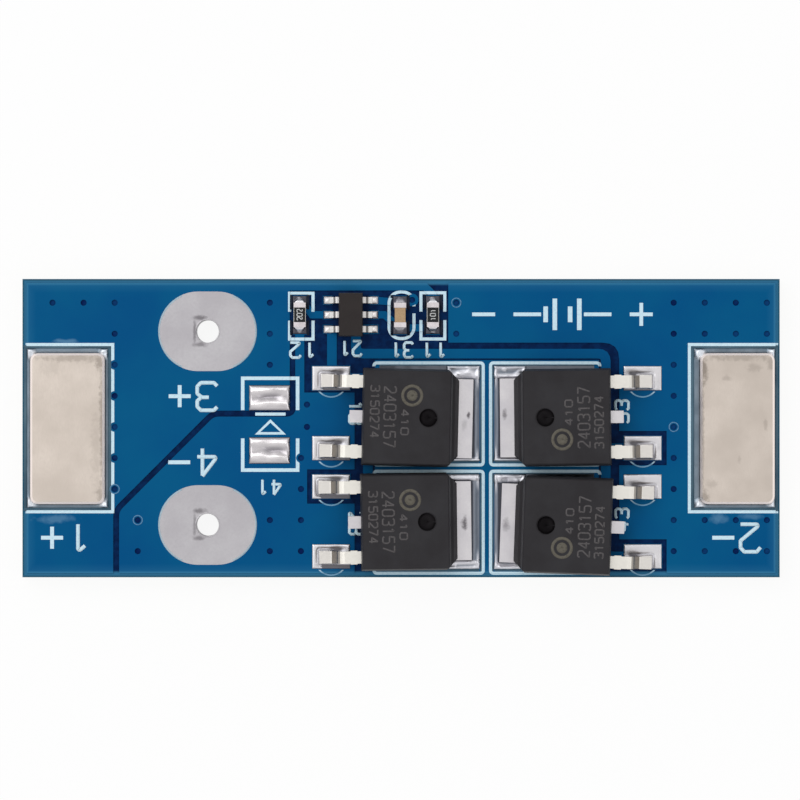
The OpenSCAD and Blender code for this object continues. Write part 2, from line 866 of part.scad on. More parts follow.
// Gull-wing path of an outer lead, from its foot to its end inside the moulding
fet_lead_path = eased([
    [-fet_half_l - fet_lead_reach, fet_frame_t / 2],
    [-fet_half_l - fet_lead_reach + fet_foot_l, fet_frame_t / 2],
    [-fet_half_l - fet_lead_reach + fet_foot_l + fet_rise_l, fet_part_z],
    [fet_inner_l - fet_half_l, fet_part_z]
], 0.22);

// The centre lead rises from the drain plate inside the moulding and is cut off outside it
fet_stub_path = eased([
    [fet_plate_end + 0.8, fet_frame_t / 2],
    [fet_plate_end + 0.3, fet_frame_t / 2],
    [fet_plate_end - 0.3, fet_part_z],
    [-fet_half_l - fet_stub_l, fet_part_z]
], 0.18);

module fet_lead(end) {
    translate([0, end * fet_lead_pitch, 0]) {
        across(fet_lead_w) band(fet_lead_path, fet_frame_t);
        translate([-fet_half_l - fet_shoulder_l, 0, fet_part_z])
            cube([fet_shoulder_l, fet_lead_w + fet_shoulder_w, fet_frame_t], center = true);
        translate([fet_inner_l / 2 - fet_half_l + 0.2, 0, fet_part_z])
            cube([fet_inner_l - 0.4, 1.5 * fet_lead_w, fet_frame_t], center = true);
    }
}

module fet_drain() {
    translate([fet_plate_end, -fet_tab_w / 2, 0])
        cube([fet_tab_end - fet_plate_end, fet_tab_w, fet_frame_t]);
    across(fet_lead_w) band(fet_stub_path, fet_frame_t);
}

// Moulding with drafted walls, a stepped wall over the tab, cut corners and an ejector mark
module fet_moulding() {
    difference() {
        intersection() {
            across(2 * fet_body_w) polygon([
                [-fet_half_l, fet_part_z],
                [-fet_half_l + fet_draft, fet_body_h - fet_edge],
                [-fet_half_l + fet_draft + fet_edge, fet_body_h],
                [fet_half_l - fet_tab_draft - fet_edge, fet_body_h],
                [fet_half_l - fet_tab_draft, fet_body_h - fet_edge],
                [fet_half_l - fet_tab_draft + fet_draft, fet_part_z + fet_edge],
                [fet_half_l - fet_tab_draft + fet_draft + fet_ledge, fet_part_z],
                [fet_toe, fet_frame_t],
                [fet_toe, 0],
                [-fet_half_l + fet_draft, 0]
            ]);
            along(2 * fet_body_l) polygon([
                [-fet_half_w, fet_part_z],
                [-fet_half_w + fet_draft, fet_body_h - fet_edge],
                [-fet_half_w + fet_draft + fet_edge, fet_body_h],
                [fet_half_w - fet_draft - fet_edge, fet_body_h],
                [fet_half_w - fet_draft, fet_body_h - fet_edge],
                [fet_half_w, fet_part_z],
                [fet_half_w - fet_draft, 0],
                [-fet_half_w + fet_draft, 0]
            ]);
            linear_extrude(fet_body_h) polygon([
                [-fet_half_l, -fet_half_w + fet_edge],
                [-fet_half_l + fet_edge, -fet_half_w],
                [fet_toe - fet_corner, -fet_half_w],
                [fet_toe, -fet_half_w + fet_corner],
                [fet_toe, fet_half_w - fet_corner],
                [fet_toe - fet_corner, fet_half_w],
                [-fet_half_l + fet_edge, fet_half_w],
                [-fet_half_l, fet_half_w - fet_edge]
            ]);
        }
        translate([fet_mark_x, 0, fet_body_h - fet_mark_depth]) cylinder(h = 1, d = fet_mark_d);
        for (end = [-1, 1]) fet_lead(end);
        fet_drain();
    }
}

module transistor_housing(i) {
    color("dimgray") placed_fet(i) fet_moulding();
}

module transistor_drain_frame(i) {
    color("gainsboro") placed_fet(i) fet_drain();
}

// The drawn part's upper lead lands on the lower pads once it is turned to face the other way
module transistor_gate_lead(i) {
    color("gainsboro") placed_fet(i) fet_lead(-fet_gate_end[i] * fet_places[i][0]);
}

module transistor_source_lead(i) {
    color("gainsboro") placed_fet(i) fet_lead(fet_gate_end[i] * fet_places[i][0]);
}

module transistor_solder(i) {
    side = -fet_places[i][0];
    color("silver") difference() {
        union() {
            for (end = [-1, 1]) {
                translate([lead_pad(i, end)[0], lead_pad(i, end)[1], copper_top])
                    crown(fet_pad_l, fet_pad_w, lead_solder_h);
            }
            layer(copper_top, solder_gap) drain_pad(i);
            translate([fet_centre(i)[0] + side * (fet_drain_outer - 0.75), fet_centre(i)[1], copper_top])
                crown(1.5, fet_drain_w, lead_solder_h);
        }
        placed_fet(i) {
            for (end = [-1, 1]) fet_lead(end);
            fet_drain();
            translate([-fet_half_l, -fet_half_w, 0])
                cube([fet_half_l + fet_toe, fet_body_w, fet_body_h]);
            translate([0, -fet_tab_w / 2, 0]) cube([fet_tab_end, fet_tab_w, fet_body_h + cut]);
        }
    }
}

// ---------- protection chip ----------

chip_seat = copper_top + 0.05;
chip_lead_z = 0.55;

module chip_lead(side, k) {
    reach = chip_span / 2;
    translate([chip_at[0], chip_at[1] + k * chip_pitch, chip_seat]) across(chip_lead_w)
        band(eased([[side * reach, chip_lead_t / 2],
                    [side * (reach - 0.32), chip_lead_t / 2],
                    [side * (reach - 0.42), chip_lead_z],
                    [side * (chip_w / 2 - 0.3), chip_lead_z]], 0.08), chip_lead_t);
}

module chip_leads() {
    for (side = [-1, 1], k = [-1:1]) chip_lead(side, k);
}

module protection_chip_leads() {
    color("gainsboro") chip_leads();
}

module protection_chip_housing() {
    half_x = chip_w / 2;
    half_y = chip_l / 2;
    color("dimgray") difference() {
        translate([chip_at[0], chip_at[1], chip_seat]) intersection() {
            across(2 * chip_l) polygon([
                [-half_x, chip_lead_z], [-half_x + 0.06, chip_h], [half_x - 0.06, chip_h],
                [half_x, chip_lead_z], [half_x - 0.05, 0.08], [-half_x + 0.05, 0.08]
            ]);
            along(2 * chip_w) polygon([
                [-half_y, chip_lead_z], [-half_y + 0.06, chip_h], [half_y - 0.06, chip_h],
                [half_y, chip_lead_z], [half_y - 0.05, 0.08], [-half_y + 0.05, 0.08]
            ]);
        }
        chip_leads();
    }
}

module protection_chip_solder() {
    color("silver") difference() {
        for (side = [-1, 1], k = [-1:1]) {
            translate([chip_pad_at(side, k)[0], chip_pad_at(side, k)[1], copper_top])
                crown(chip_pad[0], chip_pad[1], 0.17);
        }
        chip_leads();
    }
}

// ---------- chip resistors and capacitor, along Y ----------

smd_seat = copper_top + 0.04;
film_t = 0.03;

module smd_block(at, w, l, z, h) {
    translate([at[0] - w / 2, at[1] - l / 2, smd_seat + z]) cube([w, l, h]);
}

// Plated ends folded over a core, which they cover by side_t on its long sides
module smd_ends(at, h, side_t) {
    difference() {
        for (end = [-1, 1]) {
            smd_block(at + [0, end * (smd_l - smd_end_l) / 2], smd_w, smd_end_l, 0, h);
        }
        smd_core(at, h, side_t);
    }
}

module smd_core(at, h, side_t) {
    smd_block(at, smd_w - 2 * side_t, smd_l - 2 * smd_end_t, smd_end_t, h - 2 * smd_end_t);
}

module smd_solder(at, h) {
    color("silver") difference() {
        for (end = [-1, 1]) {
            translate([at[0], at[1] + end * smd_pad_reach, copper_top])
                crown(smd_pad[0], smd_pad[1], 0.22);
        }
        smd_block(at, smd_w, smd_l, 0, h);
    }
}

module resistor_ceramic(at) {
    color("white") smd_core(at, resistor_h, 0);
}

module resistor_film(at) {
    color("black") smd_block(at, smd_w - 0.06, smd_l - 2 * smd_end_l, resistor_h - smd_end_t, film_t);
}

module resistor_ends(at) {
    color("gainsboro") smd_ends(at, resistor_h, 0);
}

module filter_capacitor_ceramic() {
    color("tan") smd_core(capacitor_at, capacitor_h, smd_end_t);
}

module filter_capacitor_ends() {
    color("gainsboro") smd_ends(capacitor_at, capacitor_h, smd_end_t);
}

module filter_capacitor_solder() {
    smd_solder(capacitor_at, capacitor_h);
}

// Solder on the two pads of the diode position, which holds no diode
module empty_diode_solder() {
    color("silver") for (d = diode_pads) {
        translate([diode_x, d[0], copper_top]) crown(d[1], d[2], dome_h);
    }
}

// ---------- nodes ----------

laminate();
copper_battery_positive();
copper_battery_negative();
copper_pack_negative();
copper_drain();
copper_charge_gates();
copper_discharge_gates();
copper_chip_traces();
solder_mask_top();
solder_mask_bottom();
printed_ink();
wire_pad_tin_positive();
wire_pad_tin_negative();
cell_tab_positive();
cell_tab_negative();
cell_tab_solder_positive();
cell_tab_solder_negative();
for (i = [0:3]) {
    name = str("transistor_", i + 1, "_");
    transistor_housing(i);
    transistor_drain_frame(i);
    transistor_gate_lead(i);
    transistor_source_lead(i);
    transistor_solder(i);
}
protection_chip_housing();
protection_chip_leads();
protection_chip_solder();
resistor_ceramic(detect_at);  // detect_resistor_ceramic
resistor_film(detect_at);  // detect_resistor_film
resistor_ends(detect_at);  // detect_resistor_ends
smd_solder(detect_at, resistor_h);  // detect_resistor_solder
resistor_ceramic(filter_at);  // filter_resistor_ceramic
resistor_film(filter_at);  // filter_resistor_film
resistor_ends(filter_at);  // filter_resistor_ends
smd_solder(filter_at, resistor_h);  // filter_resistor_solder
filter_capacitor_ceramic();
filter_capacitor_ends();
filter_capacitor_solder();
empty_diode_solder();
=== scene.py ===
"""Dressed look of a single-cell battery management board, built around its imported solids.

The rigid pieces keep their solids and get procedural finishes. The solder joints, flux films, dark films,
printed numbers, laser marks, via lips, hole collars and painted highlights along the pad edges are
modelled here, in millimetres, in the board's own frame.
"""

import logging
import math
from collections.abc import Callable, Sequence
from dataclasses import dataclass, field
from enum import Enum
from functools import partial

import bpy
import numpy as np
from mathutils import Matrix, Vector


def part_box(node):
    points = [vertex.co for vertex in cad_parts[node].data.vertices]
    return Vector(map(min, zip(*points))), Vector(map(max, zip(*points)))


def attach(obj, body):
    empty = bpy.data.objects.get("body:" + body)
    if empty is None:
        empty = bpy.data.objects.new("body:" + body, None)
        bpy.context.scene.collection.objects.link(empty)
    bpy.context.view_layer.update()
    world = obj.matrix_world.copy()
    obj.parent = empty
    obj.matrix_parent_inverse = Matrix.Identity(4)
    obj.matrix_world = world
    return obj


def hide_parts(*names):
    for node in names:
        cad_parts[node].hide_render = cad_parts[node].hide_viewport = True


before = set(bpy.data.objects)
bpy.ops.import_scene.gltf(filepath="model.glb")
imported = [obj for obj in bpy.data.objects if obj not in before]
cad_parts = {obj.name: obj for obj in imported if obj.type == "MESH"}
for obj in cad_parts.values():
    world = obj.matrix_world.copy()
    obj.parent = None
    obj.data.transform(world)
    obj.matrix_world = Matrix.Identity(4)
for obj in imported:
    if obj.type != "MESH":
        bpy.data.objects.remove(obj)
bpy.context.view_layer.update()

LOG = logging.getLogger("board")
MM = 0.001
BODY = "root"
LOOK = "_look"
Colour = tuple[float, float, float]
Point = tuple[float, float]
Grid = np.ndarray
Height = Callable[[Grid, Grid], Grid]

# Levels above the underside, in millimetres: the copper's face, the mask's face over copper, and the
# mask's face over bare laminate.
COPPER_FACE = 1.57
MASK_FACE = 1.60
BARE_FACE = 1.53

# Thicknesses of the printed ink and of a thin film of flux or solder.
INK_DEPTH = 0.02
FILM = 0.004

# From the middle line of a power transistor's solder to the middle of each of its lead pads.
LEAD_OFFSET = 2.285

# Size of a cell where a body's top is level, and slack for rounding at the edge of a pad.
LEVEL_CELL = 5.0
SLACK = 1e-6

# Stretches of a noise field over which a shade changes: one for patches, one for grain.
PATCHY = (0.35, 0.65)
GRAINY = (0.3, 0.7)


def tone(red: int, green: int, blue: int) -> Colour:
    """Turn a display colour of 0 to 255 into the linear colour that a shader takes.

    Args:
        red: Display red.
        green: Display green.
        blue: Display blue.

    Returns:
        The linear colour.
    """
    def linear(level: int) -> float:
        """Turn one display level of 0 to 255 into a linear level.

        Args:
            level: The display level.

        Returns:
            The linear level.
        """
        part = level / 255
        return part / 12.92 if part <= 0.04045 else ((part + 0.055) / 1.055) ** 2.4

    return linear(red), linear(green), linear(blue)


# ---------------------------------------------------------------- finishes


@dataclass(frozen=True)
class Spot:
    """A soft patch of another shade, in millimetres on the board."""

    x: float
    y: float
    rx: float
    ry: float
    strength: float


def box_mm(name: str) -> tuple[np.ndarray, np.ndarray]:
    """Give the lowest and highest corners of a solid, in millimetres."""
    low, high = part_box(name)
    return np.array(low) / MM, np.array(high) / MM


def middle(name: str) -> np.ndarray:
    """Give the middle of a solid's box, in millimetres."""
    low, high = box_mm(name)
    return (low + high) / 2


def beside(name: str, *offsets: tuple[float, float, float, float, float]) -> tuple[Spot, ...]:
    """Place patches from the middle of a solid.

    Args:
        name: Name of the solid.
        offsets: For each patch its place from the middle, its half-sizes and its strength.

    Returns:
        The patches.
    """
    at = middle(name)
    return tuple(Spot(at[0] + dx, at[1] + dy, rx, ry, level) for dx, dy, rx, ry, level in offsets)


class Wiring:
    """A node tree under construction."""

    def __init__(self, tree: bpy.types.NodeTree) -> None:
        """Start on this tree."""
        self.tree = tree

    def add(self, kind: str, **settings: object) -> bpy.types.Node:
        """Add a node.

        Args:
            kind: Type of the node.
            settings: Its properties.

        Returns:
            The node.
        """
        node = self.tree.nodes.new(kind)
        for name, value in settings.items():
            setattr(node, name, value)
        return node

    def feed(self, socket: bpy.types.NodeSocket, value: object) -> None:
        """Link a socket to another one, or set it to a plain value.

        Args:
            socket: The socket to feed.
            value: The socket or plain value that feeds it.
        """
        if isinstance(value, bpy.types.NodeSocket):
            self.tree.links.new(value, socket)
        else:
            socket.default_value = value

    def maths(self, operation: str, *values: object) -> bpy.types.NodeSocket:
        """Run one sum.

        Args:
            operation: Its kind.
            values: Sockets or numbers to run it on.

        Returns:
            The result.
        """
        node = self.add("ShaderNodeMath", operation=operation)
        for socket, value in zip(node.inputs, values):
            self.feed(socket, value)
        return node.outputs[0]

    def remap(self, value: bpy.types.NodeSocket, low: float, high: float,
              to_low: float = 0.0, to_high: float = 1.0) -> bpy.types.NodeSocket:
        """Map a range of a value onto another range, clamped at its ends.

        Args:
            value: The value to map.
            low: Start of its range.
            high: End of its range.
            to_low: Result at the start.
            to_high: Result at the end.

        Returns:
            The mapped value.
        """
        node = self.add("ShaderNodeMapRange")
        for name, given in (("Value", value), ("From Min", low), ("From Max", high),
                            ("To Min", to_low), ("To Max", to_high)):
            self.feed(node.inputs[name], given)
        return node.outputs["Result"]

    def overlay(self, amount: bpy.types.NodeSocket, under: bpy.types.Node,
                over: bpy.types.Node) -> bpy.types.Node:
        """Lay one shader over another.

        Args:
            amount: Share of the upper one.
            under: The lower shader.
            over: The upper shader.

        Returns:
            The mixed shader.
        """
        node = self.add("ShaderNodeMixShader")
        for socket, given in zip(node.inputs, (amount, under.outputs[0], over.outputs[0])):
            self.feed(socket, given)
        return node


class Bench(Wiring):
    """One material under construction, whose patterns are sized in millimetres on the piece."""

    def __init__(self, name: str) -> None:
        """Start a material with its shader and a coordinate in millimetres.

        Args:
            name: Name of the material.
        """
        self.material = bpy.data.materials.new(name + LOOK)
        self.material.use_nodes = True
        super().__init__(self.material.node_tree)
        self.shader = self.tree.nodes["Principled BSDF"]
        scale = self.add("ShaderNodeMapping")
        scale.inputs["Scale"].default_value = (1 / MM, 1 / MM, 1 / MM)
        self.feed(scale.inputs["Vector"], self.add("ShaderNodeTexCoord").outputs["Object"])
        self.place = scale.outputs["Vector"]

    def axes(self, vector: bpy.types.NodeSocket) -> bpy.types.NodeOutputs:
        """Split a vector into its X, Y and Z.

        Args:
            vector: The vector.

        Returns:
            The outputs X, Y and Z.
        """
        split = self.add("ShaderNodeSeparateXYZ")
        self.feed(split.inputs["Vector"], vector)
        return split.outputs

    def height(self) -> bpy.types.NodeSocket:
        """Give the height of the shaded point above the underside, in millimetres."""
        return self.axes(self.place)["Z"]

    def noise(self, size: float, detail: float = 3.0, rough: float = 0.55,
              stretch: tuple[float, float, float] = (1, 1, 1)) -> bpy.types.NodeSocket:
        """Make a noise field.

        Args:
            size: Size of its main features, in millimetres.
            detail: Octaves of finer features.
            rough: Strength of the finer features.
            stretch: How much longer the features are along each axis.

        Returns:
            The field, from 0 to 1.
        """
        place = self.add("ShaderNodeMapping")
        place.inputs["Scale"].default_value = [1 / (size * part) for part in stretch]
        self.feed(place.inputs["Vector"], self.place)
        field_node = self.add("ShaderNodeTexNoise")
        self.feed(field_node.inputs["Vector"], place.outputs["Vector"])
        field_node.inputs["Scale"].default_value = 1.0
        field_node.inputs["Detail"].default_value = detail
        field_node.inputs["Roughness"].default_value = rough
        return field_node.outputs["Fac"]

    def upright(self) -> bpy.types.NodeSocket:
        """Give how far the surface faces straight up: 1 for a flat top, 0 for an upright wall."""
        return self.maths("ABSOLUTE", self.axes(self.add("ShaderNodeTexCoord").outputs["Normal"])["Z"])

    def stains(self, spots: Sequence[Spot], ragged_by: float,
               size: float = 0.25) -> bpy.types.NodeSocket:
        """Make soft ragged patches at given places.

        Args:
            spots: The patches.
            ragged_by: How far their edge wanders, as a share of their size.
            size: Size of the wander, in millimetres.

        Returns:
            The field, 1 inside a patch and 0 away from it.
        """
        ragged = self.remap(self.noise(size, 3.0), *GRAINY, -ragged_by, ragged_by)
        total: object = 0.0
        for spot in spots:
            place = self.add("ShaderNodeMapping")
            place.inputs["Location"].default_value = (-spot.x / spot.rx, -spot.y / spot.ry, 0)
            place.inputs["Scale"].default_value = (1 / spot.rx, 1 / spot.ry, 0)
            self.feed(place.inputs["Vector"], self.place)
            length = self.add("ShaderNodeVectorMath", operation="LENGTH")
            self.feed(length.inputs[0], place.outputs["Vector"])
            reach = self.maths("ADD", length.outputs["Value"], ragged)
            total = self.maths("MAXIMUM", total, self.remap(reach, 0.4, 1.15, spot.strength, 0.0))
        return total

    def blend(self, amount: object, first: object, second: object) -> bpy.types.NodeSocket:
        """Mix two colours.

        Args:
            amount: Share of the second colour.
            first: Colour or socket.
            second: Colour or socket.

        Returns:
            The mixed colour.
        """
        node = self.add("ShaderNodeMix", data_type="RGBA")
        self.feed(node.inputs[0], amount)
        for socket, given in ((node.inputs[6], first), (node.inputs[7], second)):
            self.feed(socket, given if isinstance(given, bpy.types.NodeSocket) else (*given, 1.0))
        return node.outputs[2]

    def relief(self, height: bpy.types.NodeSocket, depth: float) -> None:
        """Bump the surface by a field.

        Args:
            height: The field, from 0 to 1.
            depth: Height of the bumps, in millimetres.
        """
        node = self.add("ShaderNodeBump")
        node.inputs["Distance"].default_value = depth * MM
        self.feed(node.inputs["Height"], height)
        self.feed(self.shader.inputs["Normal"], node.outputs["Normal"])

    def finish(self, colour: object, rough: object, **levels: float) -> bpy.types.Material:
        """Set the shader's colour, roughness and constant levels.

        Args:
            colour: Base colour or socket.
            rough: Roughness or socket.
            levels: Constant levels by socket name, with underscores for spaces.

        Returns:
            The finished material.
        """
        plain = colour if isinstance(colour, bpy.types.NodeSocket) else (*colour, 1.0)
        self.feed(self.shader.inputs["Base Color"], plain)
        self.feed(self.shader.inputs["Roughness"], rough)
        for name, level in levels.items():
            self.shader.inputs[name.replace("_", " ")].default_value = level
        return self.material


@dataclass(frozen=True)
class SolderMask:
    """Blue mask, darker where it lies straight on the laminate, with painted light along the cut edge:
    painted shade right at the edge, a painted highlight where the pour ends and a faint painted glow
    further in.
    """

    name: str
    copper_face: float
    bare_face: float
    smears: tuple[Spot, ...] = ()
    over_copper: Colour = tone(0, 79, 131)
    over_pour: Colour = tone(2, 88, 134)
    over_laminate: Colour = tone(0, 26, 66)
    over_fibre: Colour = tone(2, 38, 82)
    plug: Colour = tone(0, 32, 88)
    shallow: Colour = tone(8, 66, 121)
    # edge is painted shade at the cut edge; the next colour is a painted highlight and glow near that
    # edge.
    edge: Colour = tone(40, 88, 112)
    brim: Colour = tone(54, 120, 158)
    smear: Colour = tone(92, 138, 172)

    def make(self) -> bpy.types.Material:
        """Build the material.

        Returns:
            The material.
        """
        bench = Bench(self.name)
        step = self.copper_face - self.bare_face
        height = bench.height()
        on_copper = bench.remap(height, self.bare_face + 0.35 * step, self.bare_face + 0.65 * step)
        fibres = bench.remap(bench.noise(0.5), 0.4, 0.6)
        bare = bench.blend(fibres, self.over_laminate, self.over_fibre)
        # Painted shade in the dip over each via: a dark navy, broken up by a paler blue.
        via_mix = bench.remap(bench.noise(1.3), 0.38, 0.6, 0.0, 0.9)
        via_shades = bench.blend(via_mix, self.plug, self.shallow)
        in_via = bench.remap(height, self.bare_face - 0.2 * step, self.bare_face - 0.4 * step)
        bare = bench.blend(in_via, bare, via_shades)
        pour = bench.blend(bench.remap(bench.noise(7.0), *PATCHY), self.over_copper, self.over_pour)
        # Painted glow of light through the board's edge, faint, up to 0.9 mm in.
        pour = bench.blend(bench.maths("MULTIPLY", self.rim(bench, 0.9, 0.3), 0.25), pour, self.brim)
        pour = bench.blend(bench.stains(self.smears, 0.3, 0.5), pour, self.smear)
        skin = bench.blend(on_copper, bare, pour)
        # Painted highlight: a pale line where the pour ends near the cut edge.
        skin = bench.blend(bench.maths("MULTIPLY", self.rim(bench, 0.44, 0.3), 0.8), skin, self.brim)
        # Painted shade: a dark band right at the cut edge.
        skin = bench.blend(self.rim(bench, 0.16, 0.08), skin, self.edge)
        bench.relief(bench.noise(0.35, 2.0), 0.004)
        return bench.finish(skin, bench.remap(bench.noise(1.6), *GRAINY, 0.3, 0.42),
                            Specular_IOR_Level=0.045)

    def rim(self, bench: Bench, reach: float, clear: float) -> bpy.types.NodeSocket:
        """Give a field that rises towards the cut edge of the board.

        Args:
            bench: The material under construction.
            reach: How far in from the edge it starts.
            clear: How far in from the edge it is full.

        Returns:
            The field, from 0 to 1.
        """
        fields = []
        for axis, edge in zip("XY", box_mm("laminate")[1]):
            out = bench.maths("ABSOLUTE", bench.axes(bench.place)[axis])
            fields.append(bench.remap(out, edge - reach, edge - clear))
        return bench.maths("MAXIMUM", *fields)


@dataclass(frozen=True)
class Metal:
    """Bare, plated or soldered metal with a grain and patches of another shade, and a painted highlight
    on its rounded rims where a bevel colour is set.
    """

    name: str
    base: Colour
    patch: Colour
    rough: tuple[float, float]
    patch_size: float = 1.5
    grain_size: float = 0.12
    grain_depth: float = 0.003
    stretch: tuple[float, float, float] = (1, 1, 1)
    spots: tuple[Spot, ...] = ()
    # Tone of the spots: painted shade on the wire pads, dark patches on the heat tabs, and on the nickel
    # tabs painted shade near the rims mixed with stains.
    stain: Colour = tone(84, 80, 84)
    bevel: Colour | None = None
    ragged: float = 0.45

    def make(self) -> bpy.types.Material:
        """Build the material.

        Returns:
            The material.
        """
        bench = Bench(self.name)
        grain = bench.noise(self.grain_size, 4.0, 0.6, self.stretch)
        patches = bench.remap(bench.noise(self.patch_size), *PATCHY)
        colour = bench.blend(patches, self.base, self.patch)
        fine = bench.blend(bench.remap(grain, *PATCHY, 0.0, 0.35), colour, self.patch)
        fine = bench.blend(bench.stains(self.spots, self.ragged), fine, self.stain)
        # Painted highlight: faces that tilt a little from level, at the rounded rims, take the pale bevel
        # colour.
        if self.bevel:
            fine = bench.blend(bench.remap(bench.upright(), 0.99, 0.93), fine, self.bevel)
        bench.relief(grain, self.grain_depth)
        return bench.finish(fine, bench.remap(grain, *GRAINY, *self.rough), Metallic=1.0)


@dataclass(frozen=True)
class BentLead:
    """Tinned lead whose foot is duller than its upper flat, and whose slopes are painted darker as shade.
    """

    name: str
    foot: Colour
    flat: Colour
    slope: Colour
    low: float
    high: float

    def make(self) -> bpy.types.Material:
        """Build the material.

        Returns:
            The material.
        """
        bench = Bench(self.name)
        grain = bench.noise(0.12, 4.0)
        level = bench.blend(bench.remap(bench.height(), self.low, self.high), self.foot, self.flat)
        # Painted shade: faces that tilt towards upright, at the bends, take the darker slope colour.
        slope_shaded = bench.blend(bench.remap(bench.upright(), 0.95, 0.72), level, self.slope)
        bench.relief(grain, 0.003)
        return bench.finish(slope_shaded, bench.remap(grain, *GRAINY, 0.28, 0.42), Metallic=1.0)


@dataclass(frozen=True)
class MoundedSolder:
    """Solder coloured by its height as painted light: painted shade at its foot, dull where it lies thin
    and a painted highlight where it stands up.
    """

    name: str
    # The foot colour is painted shade and the thick colour a painted highlight, both picked by height.
    foot: Colour
    thin: Colour
    thick: Colour
    levels: tuple[float, float, float]
    rough: tuple[float, float]
    wave_size: float
    wave_depth: float
    wave_shade: float
    stretch: tuple[float, float, float] = (1, 1, 1)

    def make(self) -> bpy.types.Material:
        """Build the material.

        Returns:
            The material.
        """
        bench = Bench(self.name)
        waves = bench.noise(self.wave_size, 3.0, 0.6, self.stretch)
        height = bench.height()
        low, middle_level, high = self.levels
        colour = bench.blend(bench.remap(height, low, middle_level), self.foot, self.thin)
        colour = bench.blend(bench.remap(height, middle_level, high), colour, self.thick)
        # Painted shade in the hollows of the waves.
        colour = bench.blend(bench.remap(waves, 0.5, 0.3, 0.0, self.wave_shade), colour, self.foot)
        bench.relief(waves, self.wave_depth)
        return bench.finish(colour, bench.remap(waves, *GRAINY, *self.rough), Metallic=1.0)


@dataclass(frozen=True)
class Epoxy:
    """Moulded black epoxy with a fine spark-worn skin."""

    name: str
    base: Colour
    fleck: Colour
    rough: tuple[float, float] = (0.5, 0.68)
    sheen: float = 0.2

    def make(self) -> bpy.types.Material:
        """Build the material.

        Returns:
            The material.
        """
        bench = Bench(self.name)
        skin = bench.noise(0.07, 4.0, 0.7)
        cloud = bench.blend(bench.remap(bench.noise(2.2), *PATCHY), self.base, self.fleck)
        flecks = bench.blend(bench.remap(skin, 0.62, 0.72), cloud, self.fleck)
        bench.relief(skin, 0.006)
        return bench.finish(flecks, bench.remap(skin, *GRAINY, *self.rough),
                            Specular_IOR_Level=self.sheen)


@dataclass(frozen=True)
class Print:
    """Ink or a laser mark, with a faint mottle where it thins."""

    name: str
    full: Colour
    thin: Colour
    rough: float = 0.6
    mottle: float = 0.16
    worn: tuple[Spot, ...] = ()
    under: Colour = tone(84, 140, 176)

    def make(self) -> bpy.types.Material:
        """Build the material.

        Returns:
            The material.
        """
        bench = Bench(self.name)
        mottle = bench.noise(self.mottle, 3.0, 0.6)
        print_colour = bench.blend(bench.remap(mottle, 0.5, 0.72), self.full, self.thin)
        if self.worn:
            print_colour = bench.blend(bench.stains(self.worn, 0.1, 0.3), print_colour, self.under)
        bench.relief(mottle, 0.002)
        return bench.finish(print_colour, self.rough, Specular_IOR_Level=0.2)


@dataclass(frozen=True)
class Laminate:
    """Glass-epoxy laminate whose cut edges show its plies."""

    name: str
    resin: Colour = tone(176, 172, 124)
    glass: Colour = tone(206, 202, 170)
    ply: float = 0.18

    def make(self) -> bpy.types.Material:
        """Build the material.

        Returns:
            The material.
        """
        bench = Bench(self.name)
        turns = bench.remap(bench.height(), 0.0, self.ply * 10, 0.0, 20 * math.pi)
        plies = bench.remap(bench.maths("SINE", turns), -0.4, 0.8)
        striped = bench.blend(plies, self.resin, self.glass)
        fibres = bench.noise(0.12, 4.0, 0.7, (3.0, 3.0, 0.5))
        bench.relief(fibres, 0.02)
        return bench.finish(bench.blend(bench.remap(fibres, 0.55, 0.8), striped, self.glass), 0.7,
                            Specular_IOR_Level=0.35)


@dataclass(frozen=True)
class Ceramic:
    """Fired ceramic with a fine grain."""

    name: str
    base: Colour
    grain: Colour
    rough: float = 0.5

    def make(self) -> bpy.types.Material:
        """Build the material.

        Returns:
            The material.
        """
        bench = Bench(self.name)
        grain = bench.noise(0.09, 4.0, 0.65)
        bench.relief(grain, 0.004)
        speckled = bench.blend(bench.remap(grain, 0.4, 0.65), self.base, self.grain)
        return bench.finish(speckled, self.rough)


def mask_smears() -> tuple[Spot, ...]:
    """Give the places of the pale smears of flux on the mask beside the cell tabs.

    Returns:
        The patches.
    """
    return (beside("cell_tab_positive", (-0.2, 5.72, 0.8, 0.16, 0.7), (-0.8, -5.9, 1.3, 0.3, 0.55))
            + beside("cell_tab_negative", (-1.2, -5.85, 0.62, 0.32, 0.6), (0.95, -5.75, 0.85, 0.2, 0.5)))


def pad_shades() -> tuple[Spot, ...]:
    """Give the places of the dull crescents of painted shade on the tin of the wire pads.

    Returns:
        The patches.
    """
    return (beside("wire_pad_tin_positive", (-0.52, 0.88, 0.5, 0.2, 0.7), (-0.52, -0.87, 0.5, 0.18, 0.6),
                   (-0.84, 0.0, 0.12, 0.95, 0.6))
            + beside("wire_pad_tin_negative", (-0.52, 0.92, 0.48, 0.2, 0.65),
                     (-0.56, -0.85, 0.44, 0.18, 0.6), (-0.84, 0.0, 0.12, 0.9, 0.5)))


